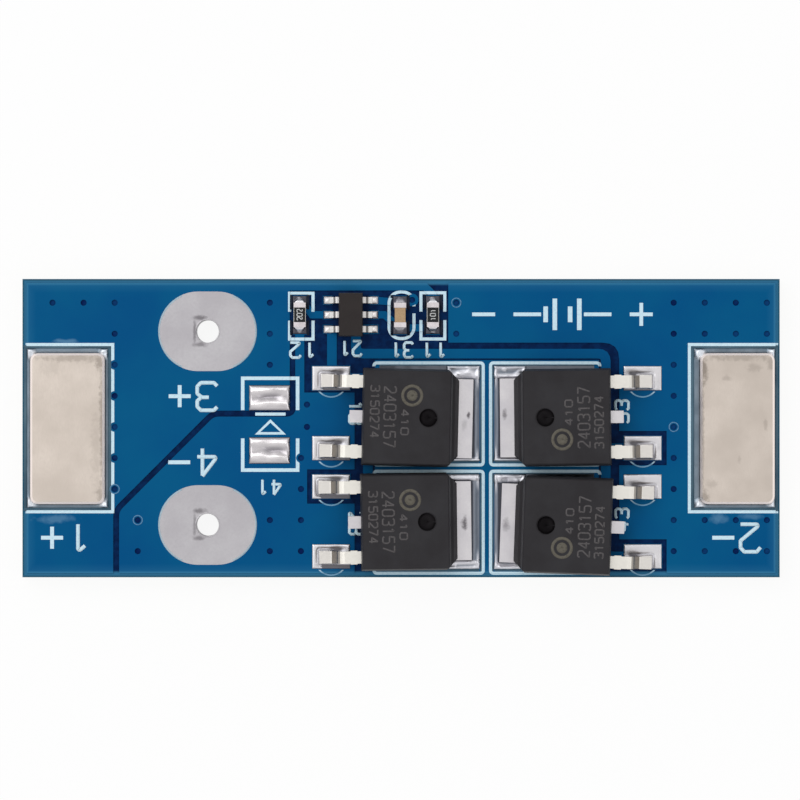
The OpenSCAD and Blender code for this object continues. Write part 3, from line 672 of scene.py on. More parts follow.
def tab_dark_spots() -> tuple[Spot, ...]:
    """Give the places of the darker spots on the nickel tabs: painted shade just inside their edges and
    at their corners, and stains elsewhere.

    Returns:
        The patches.
    """
    return (beside("cell_tab_positive", (2.24, 0.2, 0.17, 4.5, 0.6), (2.1, 4.35, 0.3, 0.6, 0.65),
                   (2.15, -4.4, 0.3, 0.6, 0.5), (0.3, 4.6, 2.1, 0.3, 0.45), (1.9, -1.5, 0.4, 3.0, 0.2),
                   (-1.1, 4.0, 0.7, 0.6, 0.15))
            + beside("cell_tab_negative", (-2.2, 3.9, 0.25, 1.1, 0.85), (-2.28, 0.0, 0.12, 4.3, 0.5),
                     (-2.15, -4.5, 0.3, 0.5, 0.6), (0.2, 4.65, 2.2, 0.28, 0.4), (2.2, 4.3, 0.3, 0.6, 0.4),
                     (-0.7, 3.3, 0.35, 0.2, 0.3), (1.1, 4.0, 0.6, 0.3, 0.3), (1.85, 0.3, 0.15, 0.4, 0.35),
                     (0.1, -2.0, 0.12, 0.35, 0.25), (-1.7, -3.6, 0.4, 0.3, 0.25)))


def frame_shades() -> tuple[Spot, ...]:
    """Give the places of the dark patches on the heat tabs of the four transistors.

    Returns:
        The patches.
    """
    return (beside("transistor_1_solder", (4.75, -0.12, 0.12, 0.26, 0.9), (4.5, -0.8, 0.2, 0.4, 0.25))
            + beside("transistor_2_solder", (4.5, -0.1, 0.22, 0.5, 0.85))
            + beside("transistor_3_solder", (-4.82, -0.08, 0.2, 0.36, 0.65))
            + beside("transistor_4_solder", (-4.72, -0.2, 0.25, 0.48, 0.5)))


def arc_spots() -> tuple[Spot, ...]:
    """Give the places where the thin printed arcs beside the transistors' lead pads are worn.

    Returns:
        Two patches for each transistor, one at each lead pad.
    """
    spots: list[Spot] = []
    for number in (1, 2, 3, 4):
        low, high = box_mm(f"transistor_{number}_solder")
        x = low[0] + 1.25 if number < 3 else high[0] - 1.25
        for y in (low[1] + high[1]) / 2 + np.array((-LEAD_OFFSET, LEAD_OFFSET)):
            spots.append(Spot(float(x), float(y) - 1.15, 1.2, 0.42, 0.85))
    return tuple(spots)


class Finish(Enum):
    """Every finish on the board."""

    MASK_TOP = SolderMask("mask_top", MASK_FACE, BARE_FACE, mask_smears())
    MASK_BOTTOM = SolderMask("mask_bottom", 0.0, MASK_FACE - BARE_FACE)
    COPPER = Metal("copper", tone(196, 122, 86), tone(178, 104, 70), rough=(0.3, 0.45))
    TIN = Metal("wire_pad_tin", tone(170, 168, 171), tone(160, 157, 161), rough=(0.42, 0.55),
                patch_size=2.4, grain_size=0.2, grain_depth=0.004, spots=pad_shades(), ragged=0.25)
    # The nickel's bevel colour is a painted highlight on its rims.
    NICKEL = Metal("nickel", tone(194, 184, 175), tone(180, 170, 161), rough=(0.36, 0.5),
                   patch_size=2.6, grain_size=0.09, stretch=(1, 3, 1), spots=tab_dark_spots(),
                   stain=tone(128, 119, 111), bevel=tone(240, 228, 222))
    FRAME = Metal("drain_frame", tone(198, 195, 197), tone(186, 183, 187), rough=(0.3, 0.45),
                  patch_size=1.4, spots=frame_shades(), ragged=0.3)
    ENDS = Metal("plated_ends", tone(208, 202, 204), tone(188, 182, 184), rough=(0.28, 0.42),
                 patch_size=0.5)
    # The slope colours of the leads are painted shade.
    LEADS = BentLead("tinned_leads", foot=tone(200, 196, 192), flat=tone(212, 209, 202),
                     slope=tone(140, 134, 127), low=1.9, high=2.7)
    CHIP_LEADS = BentLead("chip_leads", foot=tone(204, 204, 202), flat=tone(196, 194, 192),
                          slope=tone(92, 88, 86), low=1.7, high=2.1)
    # For each solder, the first colour is painted shade at low places and the last a painted highlight at
    # high ones.
    PART_SOLDER = MoundedSolder("part_solder", tone(60, 58, 64), tone(190, 189, 194), tone(210, 206, 204),
                                levels=(1.58, 1.615, 1.72), rough=(0.3, 0.42), wave_size=0.8,
                                wave_depth=0.008, wave_shade=0.12)
    TAB_SOLDER = MoundedSolder("tab_solder", tone(36, 46, 54), tone(96, 110, 122), tone(200, 205, 212),
                               levels=(1.575, 1.61, 1.74), rough=(0.32, 0.46), wave_size=0.5,
                               wave_depth=0.006, wave_shade=0.14)
    PAD_SOLDER = MoundedSolder("pad_solder", tone(112, 108, 114), tone(164, 160, 164),
                               tone(216, 212, 213), levels=(1.58, 1.66, 1.78), rough=(0.2, 0.34),
                               wave_size=0.3, wave_depth=0.012, wave_shade=0.25, stretch=(3, 1, 1))
    STRIP_SOLDER = MoundedSolder("strip_solder", tone(52, 50, 54), tone(100, 107, 118),
                                 tone(196, 196, 202), levels=(1.58, 1.62, 1.68), rough=(0.34, 0.46),
                                 wave_size=0.6, wave_depth=0.006, wave_shade=0.1)
    CHIP_SOLDER = MoundedSolder("chip_part_solder", tone(40, 40, 46), tone(86, 86, 94),
                                tone(210, 208, 212), levels=(1.58, 1.62, 1.76), rough=(0.24, 0.38),
                                wave_size=0.25, wave_depth=0.012, wave_shade=0.3)
    FLUX = Epoxy("flux_residue", tone(68, 96, 114), tone(82, 110, 126), rough=(0.3, 0.45), sheen=0.1)
    # A plain dark film laid beside the chip parts' pads.
    DARK_FLUX = Epoxy("dark_film", tone(20, 28, 44), tone(34, 42, 58), rough=(0.3, 0.45), sheen=0.08)
    EPOXY = Epoxy("epoxy", tone(34, 32, 35), tone(42, 41, 44))
    # Painted shade: the floor of the ejector pit is coloured nearly black.
    EJECTOR = Epoxy("ejector_mark", tone(12, 10, 12), tone(30, 28, 30), rough=(0.4, 0.6), sheen=0.03)
    CHIP_EPOXY = Epoxy("chip_epoxy", tone(34, 29, 29), tone(42, 37, 36))
    COAT = Epoxy("resistor_coat", tone(20, 20, 23), tone(30, 30, 33), rough=(0.24, 0.36))
    INK = Print("ink", tone(206, 232, 244), tone(182, 216, 234), worn=arc_spots())
    MARKS = Print("ink_numbers", tone(206, 232, 244), tone(182, 216, 234))
    # A painted highlight along the rounded ends of the wire pads.
    THIN_TIN = Print("tin_rim_highlight", tone(166, 188, 200), tone(150, 174, 188))
    LIP = Print("via_lip", tone(96, 142, 178), tone(60, 110, 152))
    LASER = Print("laser_mark", tone(88, 85, 86), tone(66, 63, 64), rough=0.7, mottle=0.1)
    BADGE = Print("laser_dot", tone(96, 92, 83), tone(74, 71, 64), rough=0.7, mottle=0.12)
    CODE = Print("resistor_code", tone(206, 208, 208), tone(140, 142, 144), rough=0.5, mottle=0.08)
    LAMINATE = Laminate("laminate")
    ALUMINA = Ceramic("alumina", tone(232, 230, 222), tone(214, 212, 204))
    CAPACITOR = Ceramic("capacitor_ceramic", tone(178, 148, 112), tone(160, 130, 96))

    def material(self) -> bpy.types.Material:
        """Give this finish's material, built on its first use."""
        made = bpy.data.materials.get(self.value.name + LOOK)
        return made if made is not None else self.value.make()


# ---------------------------------------------------------------- pieces


def dress(finish: Finish, *nodes: str) -> None:
    """Give solids a finish.

    Args:
        finish: The finish.
        nodes: Names of the solids.
    """
    for name in nodes:
        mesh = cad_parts[name].data
        mesh.materials.clear()
        mesh.materials.append(finish.material())
        LOG.info("dressed %s as %s", name, finish.value.name)


def keep(piece: bpy.types.Object, slot: str, *stands_for: str) -> None:
    """Tie a finished piece to the board.

    Args:
        piece: The piece.
        slot: The record's material slot for it; it is not used.
        stands_for: Solids that it is shown in place of.
    """
    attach(piece, BODY)
    if stands_for:
        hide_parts(*stands_for)
    LOG.info("built %s: %d faces", piece.name, len(piece.data.polygons))


def solid(name: str, verts: Sequence[Sequence[float]], faces: Sequence[Sequence[int]],
          finish: Finish) -> bpy.types.Object:
    """Make a smoothly shaded piece from points in millimetres.

    Args:
        name: Name of the piece.
        verts: Its points.
        faces: Its faces, by point numbers.
        finish: Its finish.

    Returns:
        The piece, in the scene.
    """
    mesh = bpy.data.meshes.new(name)
    mesh.from_pydata([[part * MM for part in v] for v in verts], [], [list(f) for f in faces])
    mesh.materials.append(finish.material())
    mesh.polygons.foreach_set("use_smooth", [True] * len(mesh.polygons))
    mesh.update()
    piece = bpy.data.objects.new(name, mesh)
    bpy.context.scene.collection.objects.link(piece)
    return piece


def slice_box(name: str, axis: int, low: float, high: float) -> tuple[np.ndarray, np.ndarray]:
    """Measure the part of a solid that lies in one band.

    Args:
        name: Name of the solid.
        axis: Axis across the band.
        low: Start of the band, in millimetres.
        high: End of the band.

    Returns:
        The lowest and highest corners of its points in the band.
    """
    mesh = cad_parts[name].data
    places = np.empty(len(mesh.vertices) * 3)
    mesh.vertices.foreach_get("co", places)
    points = places.reshape(-1, 3) / MM
    inside = points[(points[:, axis] >= low) & (points[:, axis] <= high)]
    return inside.min(axis=0), inside.max(axis=0)


@dataclass(frozen=True)
class Rect:
    """A rectangle on the board, in millimetres."""

    x0: float
    y0: float
    x1: float
    y1: float

    def inset(self, x: Grid, y: Grid) -> Grid:
        """Give how far points lie inside its edge.

        Args:
            x: Places along the board.
            y: Places across it.

        Returns:
            The distance of each to the nearest side, negative outside.
        """
        across = np.minimum(x - self.x0, self.x1 - x)
        along = np.minimum(y - self.y0, self.y1 - y)
        return np.minimum(across, along)

    def distance(self, x: Grid, y: Grid) -> Grid:
        """Give how far points lie outside it.

        Args:
            x: Places along the board.
            y: Places across it.

        Returns:
            The distance of each to the rectangle, 0 inside.
        """
        across = np.maximum(np.maximum(self.x0 - x, x - self.x1), 0)
        along = np.maximum(np.maximum(self.y0 - y, y - self.y1), 0)
        return np.hypot(across, along)

    def grown(self, by: float) -> "Rect":
        """Give this rectangle with its edges moved out."""
        return Rect(self.x0 - by, self.y0 - by, self.x1 + by, self.y1 + by)

    @staticmethod
    def between(a: float, b: float, y0: float, y1: float) -> "Rect":
        """Give the rectangle between two places along the board, in either order."""
        return Rect(min(a, b), y0, max(a, b), y1)


def footprint(name: str) -> Rect:
    """Give the rectangle on the board that a solid's box covers."""
    low, high = box_mm(name)
    return Rect(low[0], low[1], high[0], high[1])


def smooth(value: Grid, low: float, high: float) -> Grid:
    """Rise softly from 0 at a low value to 1 at a high one."""
    t = np.clip((value - low) / (high - low), 0, 1)
    return t * t * (3 - 2 * t)


def ripple(x: Grid, y: Grid, size: float, seed: float) -> Grid:
    """Make soft uneven waves of about -1 to 1.

    Args:
        x: Places along the board, in millimetres.
        y: Places across the board.
        size: Size of the waves.
        seed: Number that sets one surface apart from the next.

    Returns:
        The wave at each place.
    """
    total = np.zeros_like(x)
    for k in range(1, 6):
        turn = seed * 1.7 + k * 2.399
        length = size * (0.6 + 0.27 * k)
        along = x * math.cos(turn) + y * math.sin(turn)
        total += np.sin(along * 2 * math.pi / length + seed * 3.1 + k * 1.3)
    return total / 3.2


def ridge(value: Grid, at: Grid | float, width: float) -> Grid:
    """Rise softly to 1 where a value is at its crest, and fall away on both sides."""
    return np.exp(-((value - at) / width) ** 2)


def level_top(height: float) -> Height:
    """Make the height rule of a body with a level top."""
    return lambda x, y: np.full_like(x, height)


def within(edge: Grid, height: Grid) -> Grid:
    """Keep a height where an edge distance is not negative, and give 0 past the edge."""
    return np.where(edge > -SLACK, height, 0)


@dataclass
class Mound:
    """Closed bodies whose upper faces follow height rules over grids of cells."""

    name: str
    finish: Finish
    base: float
    verts: list[list[float]] = field(default_factory=list)
    faces: list[list[int]] = field(default_factory=list)

    def add(self, area: Rect, step: float, rule: Height) -> None:
        """Add one body.

        Args:
            area: The rectangle that its cells cover.
            step: Size of a cell, in millimetres.
            rule: Height above the base at each point; cells with a height of 0 are left out.
        """
        nx = max(2, round((area.x1 - area.x0) / step))
        ny = max(2, round((area.y1 - area.y0) / step))
        x, y = np.meshgrid(np.linspace(area.x0, area.x1, nx + 1),
                           np.linspace(area.y0, area.y1, ny + 1), indexing="ij")
        z = rule(x, y)
        centre_x = (x[:-1, :-1] + x[1:, 1:]) / 2
        centre_y = (y[:-1, :-1] + y[1:, 1:]) / 2
        full = rule(centre_x, centre_y) > 0
        number = -np.ones((nx + 1, ny + 1, 2), int)

        def corner(i: int, j: int, top: int) -> int:
            """Give the number of a grid corner's point, which is made on its first use.

            Args:
                i: Column of the corner.
                j: Row of the corner.
                top: 1 for its upper point, 0 for its lower one.

            Returns:
                The point's number.
            """
            if number[i, j, top] < 0:
                number[i, j, top] = len(self.verts)
                rise = max(float(z[i, j]), FILM / 2) if top else 0.0
                self.verts.append([float(x[i, j]), float(y[i, j]), self.base + rise])
            return int(number[i, j, top])

        for i in range(nx):
            for j in range(ny):
                if not full[i, j]:
                    continue
                ring = ((i, j), (i + 1, j), (i + 1, j + 1), (i, j + 1))
                self.faces.append([corner(a, b, 1) for a, b in ring])
                self.faces.append([corner(a, b, 0) for a, b in reversed(ring)])
                # A wall closes each side whose next cell is left out.
                for k, (di, dj) in enumerate(((0, -1), (1, 0), (0, 1), (-1, 0))):
                    a, b = i + di, j + dj
                    if 0 <= a < nx and 0 <= b < ny and full[a, b]:
                        continue
                    p, q = ring[k], ring[(k + 1) % 4]
                    self.faces.append([corner(*p, 0), corner(*q, 0), corner(*q, 1), corner(*p, 1)])

    def build(self) -> bpy.types.Object:
        """Make the piece."""
        return solid(self.name, self.verts, self.faces, self.finish)


def mask_film(name: str, finish: Finish, areas: Sequence[Rect], depth: float = FILM) -> bpy.types.Object:
    """Lay thin films on the mask: flux, or a plain dark film beside the chip parts.

    Args:
        name: Name of the piece.
        finish: Its finish.
        areas: Rectangles that the films cover.
        depth: Thickness of the films.

    Returns:
        The piece.
    """
    film = Mound(name, finish, MASK_FACE)
    for area in areas:
        film.add(area, LEVEL_CELL, level_top(depth))
    return film.build()


# ---------------------------------------------------------------- rules for what repeats


class Rule(Wiring):
    """A geometry tree with named inputs, run once on a piece and then removed."""

    def __init__(self, name: str, floats: Sequence[str]) -> None:
        """Start a tree that takes points or paths and a material.

        Args:
            name: Name of the tree.
            floats: Names of its number inputs.
        """
        super().__init__(bpy.data.node_groups.new(name, "GeometryNodeTree"))
        face = self.tree.interface
        kinds = {label: "NodeSocketFloat" for label in floats} | {"Finish": "NodeSocketMaterial"}
        face.new_socket("Geometry", in_out="INPUT", socket_type="NodeSocketGeometry")
        self.keys = {label: face.new_socket(label, in_out="INPUT", socket_type=kind).identifier
                     for label, kind in kinds.items()}
        face.new_socket("Geometry", in_out="OUTPUT", socket_type="NodeSocketGeometry")
        self.given = self.add("NodeGroupInput").outputs

    def close(self, shape: bpy.types.NodeSocket) -> None:
        """End the tree by making its copies real and giving them their finish.

        Args:
            shape: The geometry to end with.
        """
        real = self.add("GeometryNodeRealizeInstances")
        paint = self.add("GeometryNodeSetMaterial")
        self.feed(real.inputs[0], shape)
        self.feed(paint.inputs["Geometry"], real.outputs[0])
        self.feed(paint.inputs["Material"], self.given["Finish"])
        self.feed(self.add("NodeGroupOutput").inputs[0], paint.outputs[0])

    def run(self, name: str, verts: Sequence[Sequence[float]], edges: Sequence[Sequence[int]],
            finish: Finish, **values: float) -> bpy.types.Object:
        """Run the tree on points or paths given in millimetres.

        Args:
            name: Name of the piece.
            verts: Its points.
            edges: Its edges, by point numbers.
            finish: Its finish.
            values: Number inputs by name, in millimetres.

        Returns:
            The piece as a plain mesh.
        """
        seed_mesh = bpy.data.meshes.new(name + "_seed")
        seed_mesh.from_pydata([[part * MM for part in v] for v in verts], [list(e) for e in edges], [])
        piece = bpy.data.objects.new(name, seed_mesh)
        bpy.context.scene.collection.objects.link(piece)
        rule = piece.modifiers.new("rule", "NODES")
        rule.node_group = self.tree
        for label, value in values.items():
            rule[self.keys[label]] = value * MM
        rule[self.keys["Finish"]] = finish.material()
        shown = piece.evaluated_get(bpy.context.evaluated_depsgraph_get())
        mesh = bpy.data.meshes.new_from_object(shown)
        mesh.name = name
        piece.modifiers.clear()
        piece.data = mesh
        bpy.data.meshes.remove(seed_mesh)
        return piece


def stroke_rule() -> Rule:
    """Make the rule that turns paths into flat printed strokes with rounded corners.

    Returns:
        The rule, with inputs Width, Thickness and Corner.
    """
    rule = Rule("printed_strokes", ("Width", "Thickness", "Corner"))
    path = rule.add("GeometryNodeMeshToCurve")
    bend = rule.add("GeometryNodeFilletCurve", mode="POLY")
    upright = rule.add("GeometryNodeSetCurveNormal", mode="Z_UP")
    outline = rule.add("GeometryNodeCurvePrimitiveQuadrilateral")
    sweep = rule.add("GeometryNodeCurveToMesh")
    rule.feed(path.inputs["Mesh"], rule.given["Geometry"])
    rule.feed(bend.inputs["Curve"], path.outputs[0])
    rule.feed(bend.inputs["Radius"], rule.given["Corner"])
    rule.feed(bend.inputs["Count"], 4)
    rule.feed(bend.inputs["Limit Radius"], True)
    rule.feed(upright.inputs["Curve"], bend.outputs[0])
    rule.feed(outline.inputs["Width"], rule.given["Width"])
    rule.feed(outline.inputs["Height"], rule.given["Thickness"])
    rule.feed(sweep.inputs["Curve"], upright.outputs[0])
    rule.feed(sweep.inputs["Profile Curve"], outline.outputs[0])
    rule.feed(sweep.inputs["Fill Caps"], True)
    rule.close(sweep.outputs[0])
    return rule


def lip_rule() -> Rule:
    """Make the rule that sets a low round lip at each point.

    Returns:
        The rule, with inputs Radius and Bead.
    """
    rule = Rule("via_lips", ("Radius", "Bead"))
    ring = rule.add("GeometryNodeCurvePrimitiveCircle")
    bead = rule.add("GeometryNodeCurvePrimitiveCircle")
    sweep = rule.add("GeometryNodeCurveToMesh")
    copies = rule.add("GeometryNodeInstanceOnPoints")
    rule.feed(ring.inputs["Resolution"], 24)
    rule.feed(ring.inputs["Radius"], rule.given["Radius"])
    rule.feed(bead.inputs["Resolution"], 8)
    rule.feed(bead.inputs["Radius"], rule.given["Bead"])
    rule.feed(sweep.inputs["Curve"], ring.outputs[0])
    rule.feed(sweep.inputs["Profile Curve"], bead.outputs[0])
    rule.feed(copies.inputs["Points"], rule.given["Geometry"])
    rule.feed(copies.inputs["Instance"], sweep.outputs[0])
    rule.close(copies.outputs[0])
    return rule


# ---------------------------------------------------------------- printed numbers

# Share of its pitch that a digit takes up in a row.
DIGIT_SHARE = 0.72

# The strokes of each digit in a square of side 1, from its lower left corner.
DIGITS: dict[str, list[list[Point]]] = {
    "0": [[(0.48, 0), (0.2, 0), (0, 0.16), (0, 0.84), (0.2, 1), (0.8, 1), (1, 0.84), (1, 0.16),
           (0.8, 0), (0.52, 0)]],
    "1": [[(0.2, 0.78), (0.55, 1), (0.55, 0)]],
    "2": [[(0, 0.84), (0.18, 1), (0.82, 1), (1, 0.85), (1, 0.6), (0, 0), (1, 0)]],
    "3": [[(0, 0.88), (0.16, 1), (0.82, 1), (1, 0.87), (1, 0.66), (0.8, 0.53), (0.42, 0.53)],
          [(0.76, 0.53), (1, 0.4), (1, 0.14), (0.82, 0), (0.16, 0), (0, 0.12)]],
    "4": [[(0.74, 1), (0, 0.3), (1, 0.3)], [(0.74, 0.98), (0.74, 0)]],
    "5": [[(0.95, 1), (0.06, 1), (0, 0.57), (0.82, 0.57), (1, 0.43), (1, 0.14), (0.82, 0), (0.16, 0),
           (0, 0.12)]],
    "7": [[(0, 1), (1, 1), (0.35, 0)]],
}


def circle(at: Point, radius: float, count: int = 40) -> list[Point]:
    """Give a path that goes once round a circle.

    Args:
        at: Its centre.
        radius: Its radius.
        count: Number of its points.

    Returns:
        The path, ending where it starts.
    """
    angles = [2 * math.pi * k / count for k in range(count + 1)]
    return [(at[0] + radius * math.cos(a), at[1] + radius * math.sin(a)) for a in angles]


def turned(at: Point, u: float, v: float, degrees: float) -> Point:
    """Turn a place on a piece into a place on the board.

    Args:
        at: Where the piece's middle is.
        u: Place along the piece.
        v: Place across the piece.
        degrees: How far the piece is turned.

    Returns:
        The place on the board.
    """
    turn = math.radians(degrees)
    return (at[0] + u * math.cos(turn) - v * math.sin(turn),
            at[1] + u * math.sin(turn) + v * math.cos(turn))


def printed(name: str, rule: Rule, paths: Sequence[Sequence[Point]], finish: Finish, z: float,
            width: float, thickness: float, corner: float) -> bpy.types.Object:
    """Print paths as flat strokes, every second one a little lower, so that tops never coincide.

    Args:
        name: Name of the piece.
        rule: The stroke rule.
        paths: The paths.
        finish: Their ink.
        z: Height of the surface that they lie on.
        width: Width of a stroke.
        thickness: Thickness of the ink.
        corner: Radius at the corners of a stroke.

    Returns:
        The piece.
    """
    verts: list[list[float]] = []
    edges: list[list[int]] = []
    for k, path in enumerate(paths):
        first = len(verts)
        verts += [[u, v, z + thickness * (0.5 - 0.12 * (k % 2))] for u, v in path]
        edges += [[j, j + 1] for j in range(first, len(verts) - 1)]
    return rule.run(name, verts, edges, finish, Width=width, Thickness=thickness, Corner=corner)


@dataclass(frozen=True)
class Number:
    """A plain number, in place of lettering."""

    digits: str
    at: Point
    width: float
    height: float
    turn: float

    def strokes(self) -> list[list[Point]]:
        """Give its paths on the board.

        Returns:
            The paths, in millimetres.
        """
        pitch = self.width / len(self.digits)
        box = pitch * (DIGIT_SHARE if len(self.digits) > 1 else 1.0)
        paths = []
        for k, digit in enumerate(self.digits):
            left = (k + 0.5) * pitch - self.width / 2 - box / 2
            for path in DIGITS[digit]:
                paths.append([turned(self.at, left + u * box, (v - 0.5) * self.height, self.turn)
                              for u, v in path])
        return paths


def paths_of(numbers: Sequence[Number]) -> list[list[Point]]:
    """Give the paths of several numbers."""
    return [path for number in numbers for path in number.strokes()]


# ---------------------------------------------------------------- sub-assemblies


class Assembly:
    """A sub-assembly of the board, which leaves out the step that it doesn't need."""

    def dress(self) -> None:
        """Finish its solids."""

    def build(self) -> None:
        """Make its own pieces."""


@dataclass(frozen=True)
class Legend:
    """A plain number printed on the mask beside a solid."""

    digits: str
    node: str
    dx: float
    dy: float
    width: float
    height: float
    turn: float = 180.0

    def number(self) -> Number:
        """Place the number on the board."""
        at = middle(self.node)
        return Number(self.digits, (at[0] + self.dx, at[1] + self.dy), self.width, self.height, self.turn)


# Sizes of the numbers beside the poles, below the small parts and beside the transistors.
POLE_W, POLE_H = 1.3, 1.8
PART_H = 0.98
SIDE_W, SIDE_H = 1.7, 0.85

POLE_LEGENDS = (
    Legend("1", "cell_tab_positive", 0.73, -7.15, POLE_W, POLE_H),
    Legend("2", "cell_tab_negative", 0.88, -7.15, POLE_W, POLE_H),
    Legend("3", "wire_pad_tin_positive", -0.02, -4.26, POLE_W, POLE_H),
    Legend("4", "wire_pad_tin_positive", -0.02, -8.56, POLE_W, POLE_H),
)
PART_LEGENDS = (
    Legend("12", "detect_resistor_ends", 0.2, -2.3, 1.9, PART_H),
    Legend("21", "protection_chip_housing", 0.02, -2.2, 1.6, PART_H),
    Legend("31", "filter_capacitor_ends", 0.15, -2.27, 1.6, PART_H),
    Legend("11", "filter_resistor_ends", 0.09, -2.3, 1.8, PART_H),
    Legend("41", "empty_diode_solder", 0.01, -4.1, 1.75, PART_H),
    Legend("13", "transistor_1_solder", -2.6, 0.05, SIDE_W, SIDE_H, -90.0),
    Legend("23", "transistor_2_solder", -2.6, -0.1, SIDE_W, SIDE_H, -90.0),
    Legend("33", "transistor_3_solder", 2.86, 0.1, SIDE_W, SIDE_H, 90.0),
    Legend("43", "transistor_4_solder", 2.86, 0.1, SIDE_W, SIDE_H, 90.0),
)


@dataclass
class BareBoard(Assembly):
    """Laminate, copper, mask and ink, with the printed numbers and the lips of the vias."""

    strokes: Rule
    lips: Rule
    pole_line: float = 0.24
    part_line: float = 0.17
    lip_r: float = 0.3
    lip_bead: float = 0.035
    lip_at: tuple[Point, ...] = ((17.82, 0.08), (3.61, 8.2), (-17.21, -6.01), (-18.72, -3.98))

    def dress(self) -> None:
        """Finish the solids of the board."""
        dress(Finish.LAMINATE, "laminate")
        dress(Finish.COPPER, *[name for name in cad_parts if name.startswith("copper_")])
        dress(Finish.MASK_TOP, "solder_mask_top")
        dress(Finish.MASK_BOTTOM, "solder_mask_bottom")
        dress(Finish.INK, "printed_ink")

    def build(self) -> None:
        """Make the numbers and the lips."""
        for name, legends, line, corner in (("pole_numbers", POLE_LEGENDS, self.pole_line, 0.1),
                                            ("part_numbers", PART_LEGENDS, self.part_line, 0.05)):
            paths = paths_of([legend.number() for legend in legends])
            keep(printed(name, self.strokes, paths, Finish.MARKS, MASK_FACE, line, INK_DEPTH, corner),
                 "ink")
        points = [[x, y, MASK_FACE] for x, y in self.lip_at]
        keep(self.lips.run("via_lips", points, [], Finish.LIP, Radius=self.lip_r, Bead=self.lip_bead),
             "mask_top")


@dataclass
class WirePads(Assembly):
    """The two plated wire holes and their rounded tinned pads."""

    strokes: Rule
    hole_r: float = 0.75
    plating: float = 0.012
    turns: int = 64
    edge_line: float = 0.1
    edge_sweep: float = 1.15

    def dress(self) -> None:
        """Finish the tin."""
        dress(Finish.TIN, "wire_pad_tin_positive", "wire_pad_tin_negative")

    def profile(self) -> list[Point]:
        """Give the section of a collar: a thin sleeve in the hole with a rounded mouth on the pad.

        Returns:
            Its corners, each as a radius and a height.
        """
        bore, wall, mouth = self.hole_r - self.plating, self.hole_r - 0.001, MASK_FACE + self.plating
        return [(bore, 0.01), (bore, MASK_FACE - 0.01), (bore + 0.01, MASK_FACE + self.plating * 0.7),
                (self.hole_r + 0.02, mouth), (self.hole_r + 0.07, MASK_FACE + self.plating * 0.5),
                (self.hole_r + 0.1, MASK_FACE - 0.01), (wall, MASK_FACE - 0.02), (wall, 0.01)]

    def collar(self, name: str, at: np.ndarray) -> bpy.types.Object:
        """Turn the section of a collar round one hole.

        Args:
            name: Name of the piece.
            at: Middle of the hole.

        Returns:
            The piece.
        """
        section = self.profile()
        angles = [2 * math.pi * k / self.turns for k in range(self.turns)]
        verts = [[at[0] + r * math.cos(a), at[1] + r * math.sin(a), z]
                 for a in angles for r, z in section]
        n, total = len(section), len(verts)
        faces = []
        for k in range(self.turns):
            for j in range(n):
                a, b = k * n + j, k * n + (j + 1) % n
                faces.append([a, b, (b + n) % total, (a + n) % total])
        return solid(name, verts, faces, Finish.TIN)

    def thin_edges(self, node: str) -> list[list[Point]]:
        """Give the paths of the painted highlight along the two rounded ends of a pad.

        Args:
            node: Name of the pad.

        Returns:
            The paths.
        """
        low, high = box_mm(node)
        at, radius = (low + high) / 2, (high[1] - low[1]) / 2
        reach, line_r = (high[0] - low[0]) / 2 - radius, radius - self.edge_line / 2
        angles = np.linspace(-self.edge_sweep, self.edge_sweep, 25)
        return [[(at[0] + side * (reach + line_r * math.cos(a)), at[1] + line_r * math.sin(a))
                 for a in angles] for side in (-1, 1)]

    def build(self) -> None:
        """Make both collars and the painted highlights along the ends of the pads."""
        paths = []
        for pole in ("positive", "negative"):
            node = "wire_pad_tin_" + pole
            keep(self.collar("wire_hole_collar_" + pole, middle(node)), "wire_pad_tin")
            paths += self.thin_edges(node)
        keep(printed("wire_pad_rim_highlights", self.strokes, paths, Finish.THIN_TIN, MASK_FACE, self.edge_line,
                     self.plating, 0.03), "wire_pad_tin")


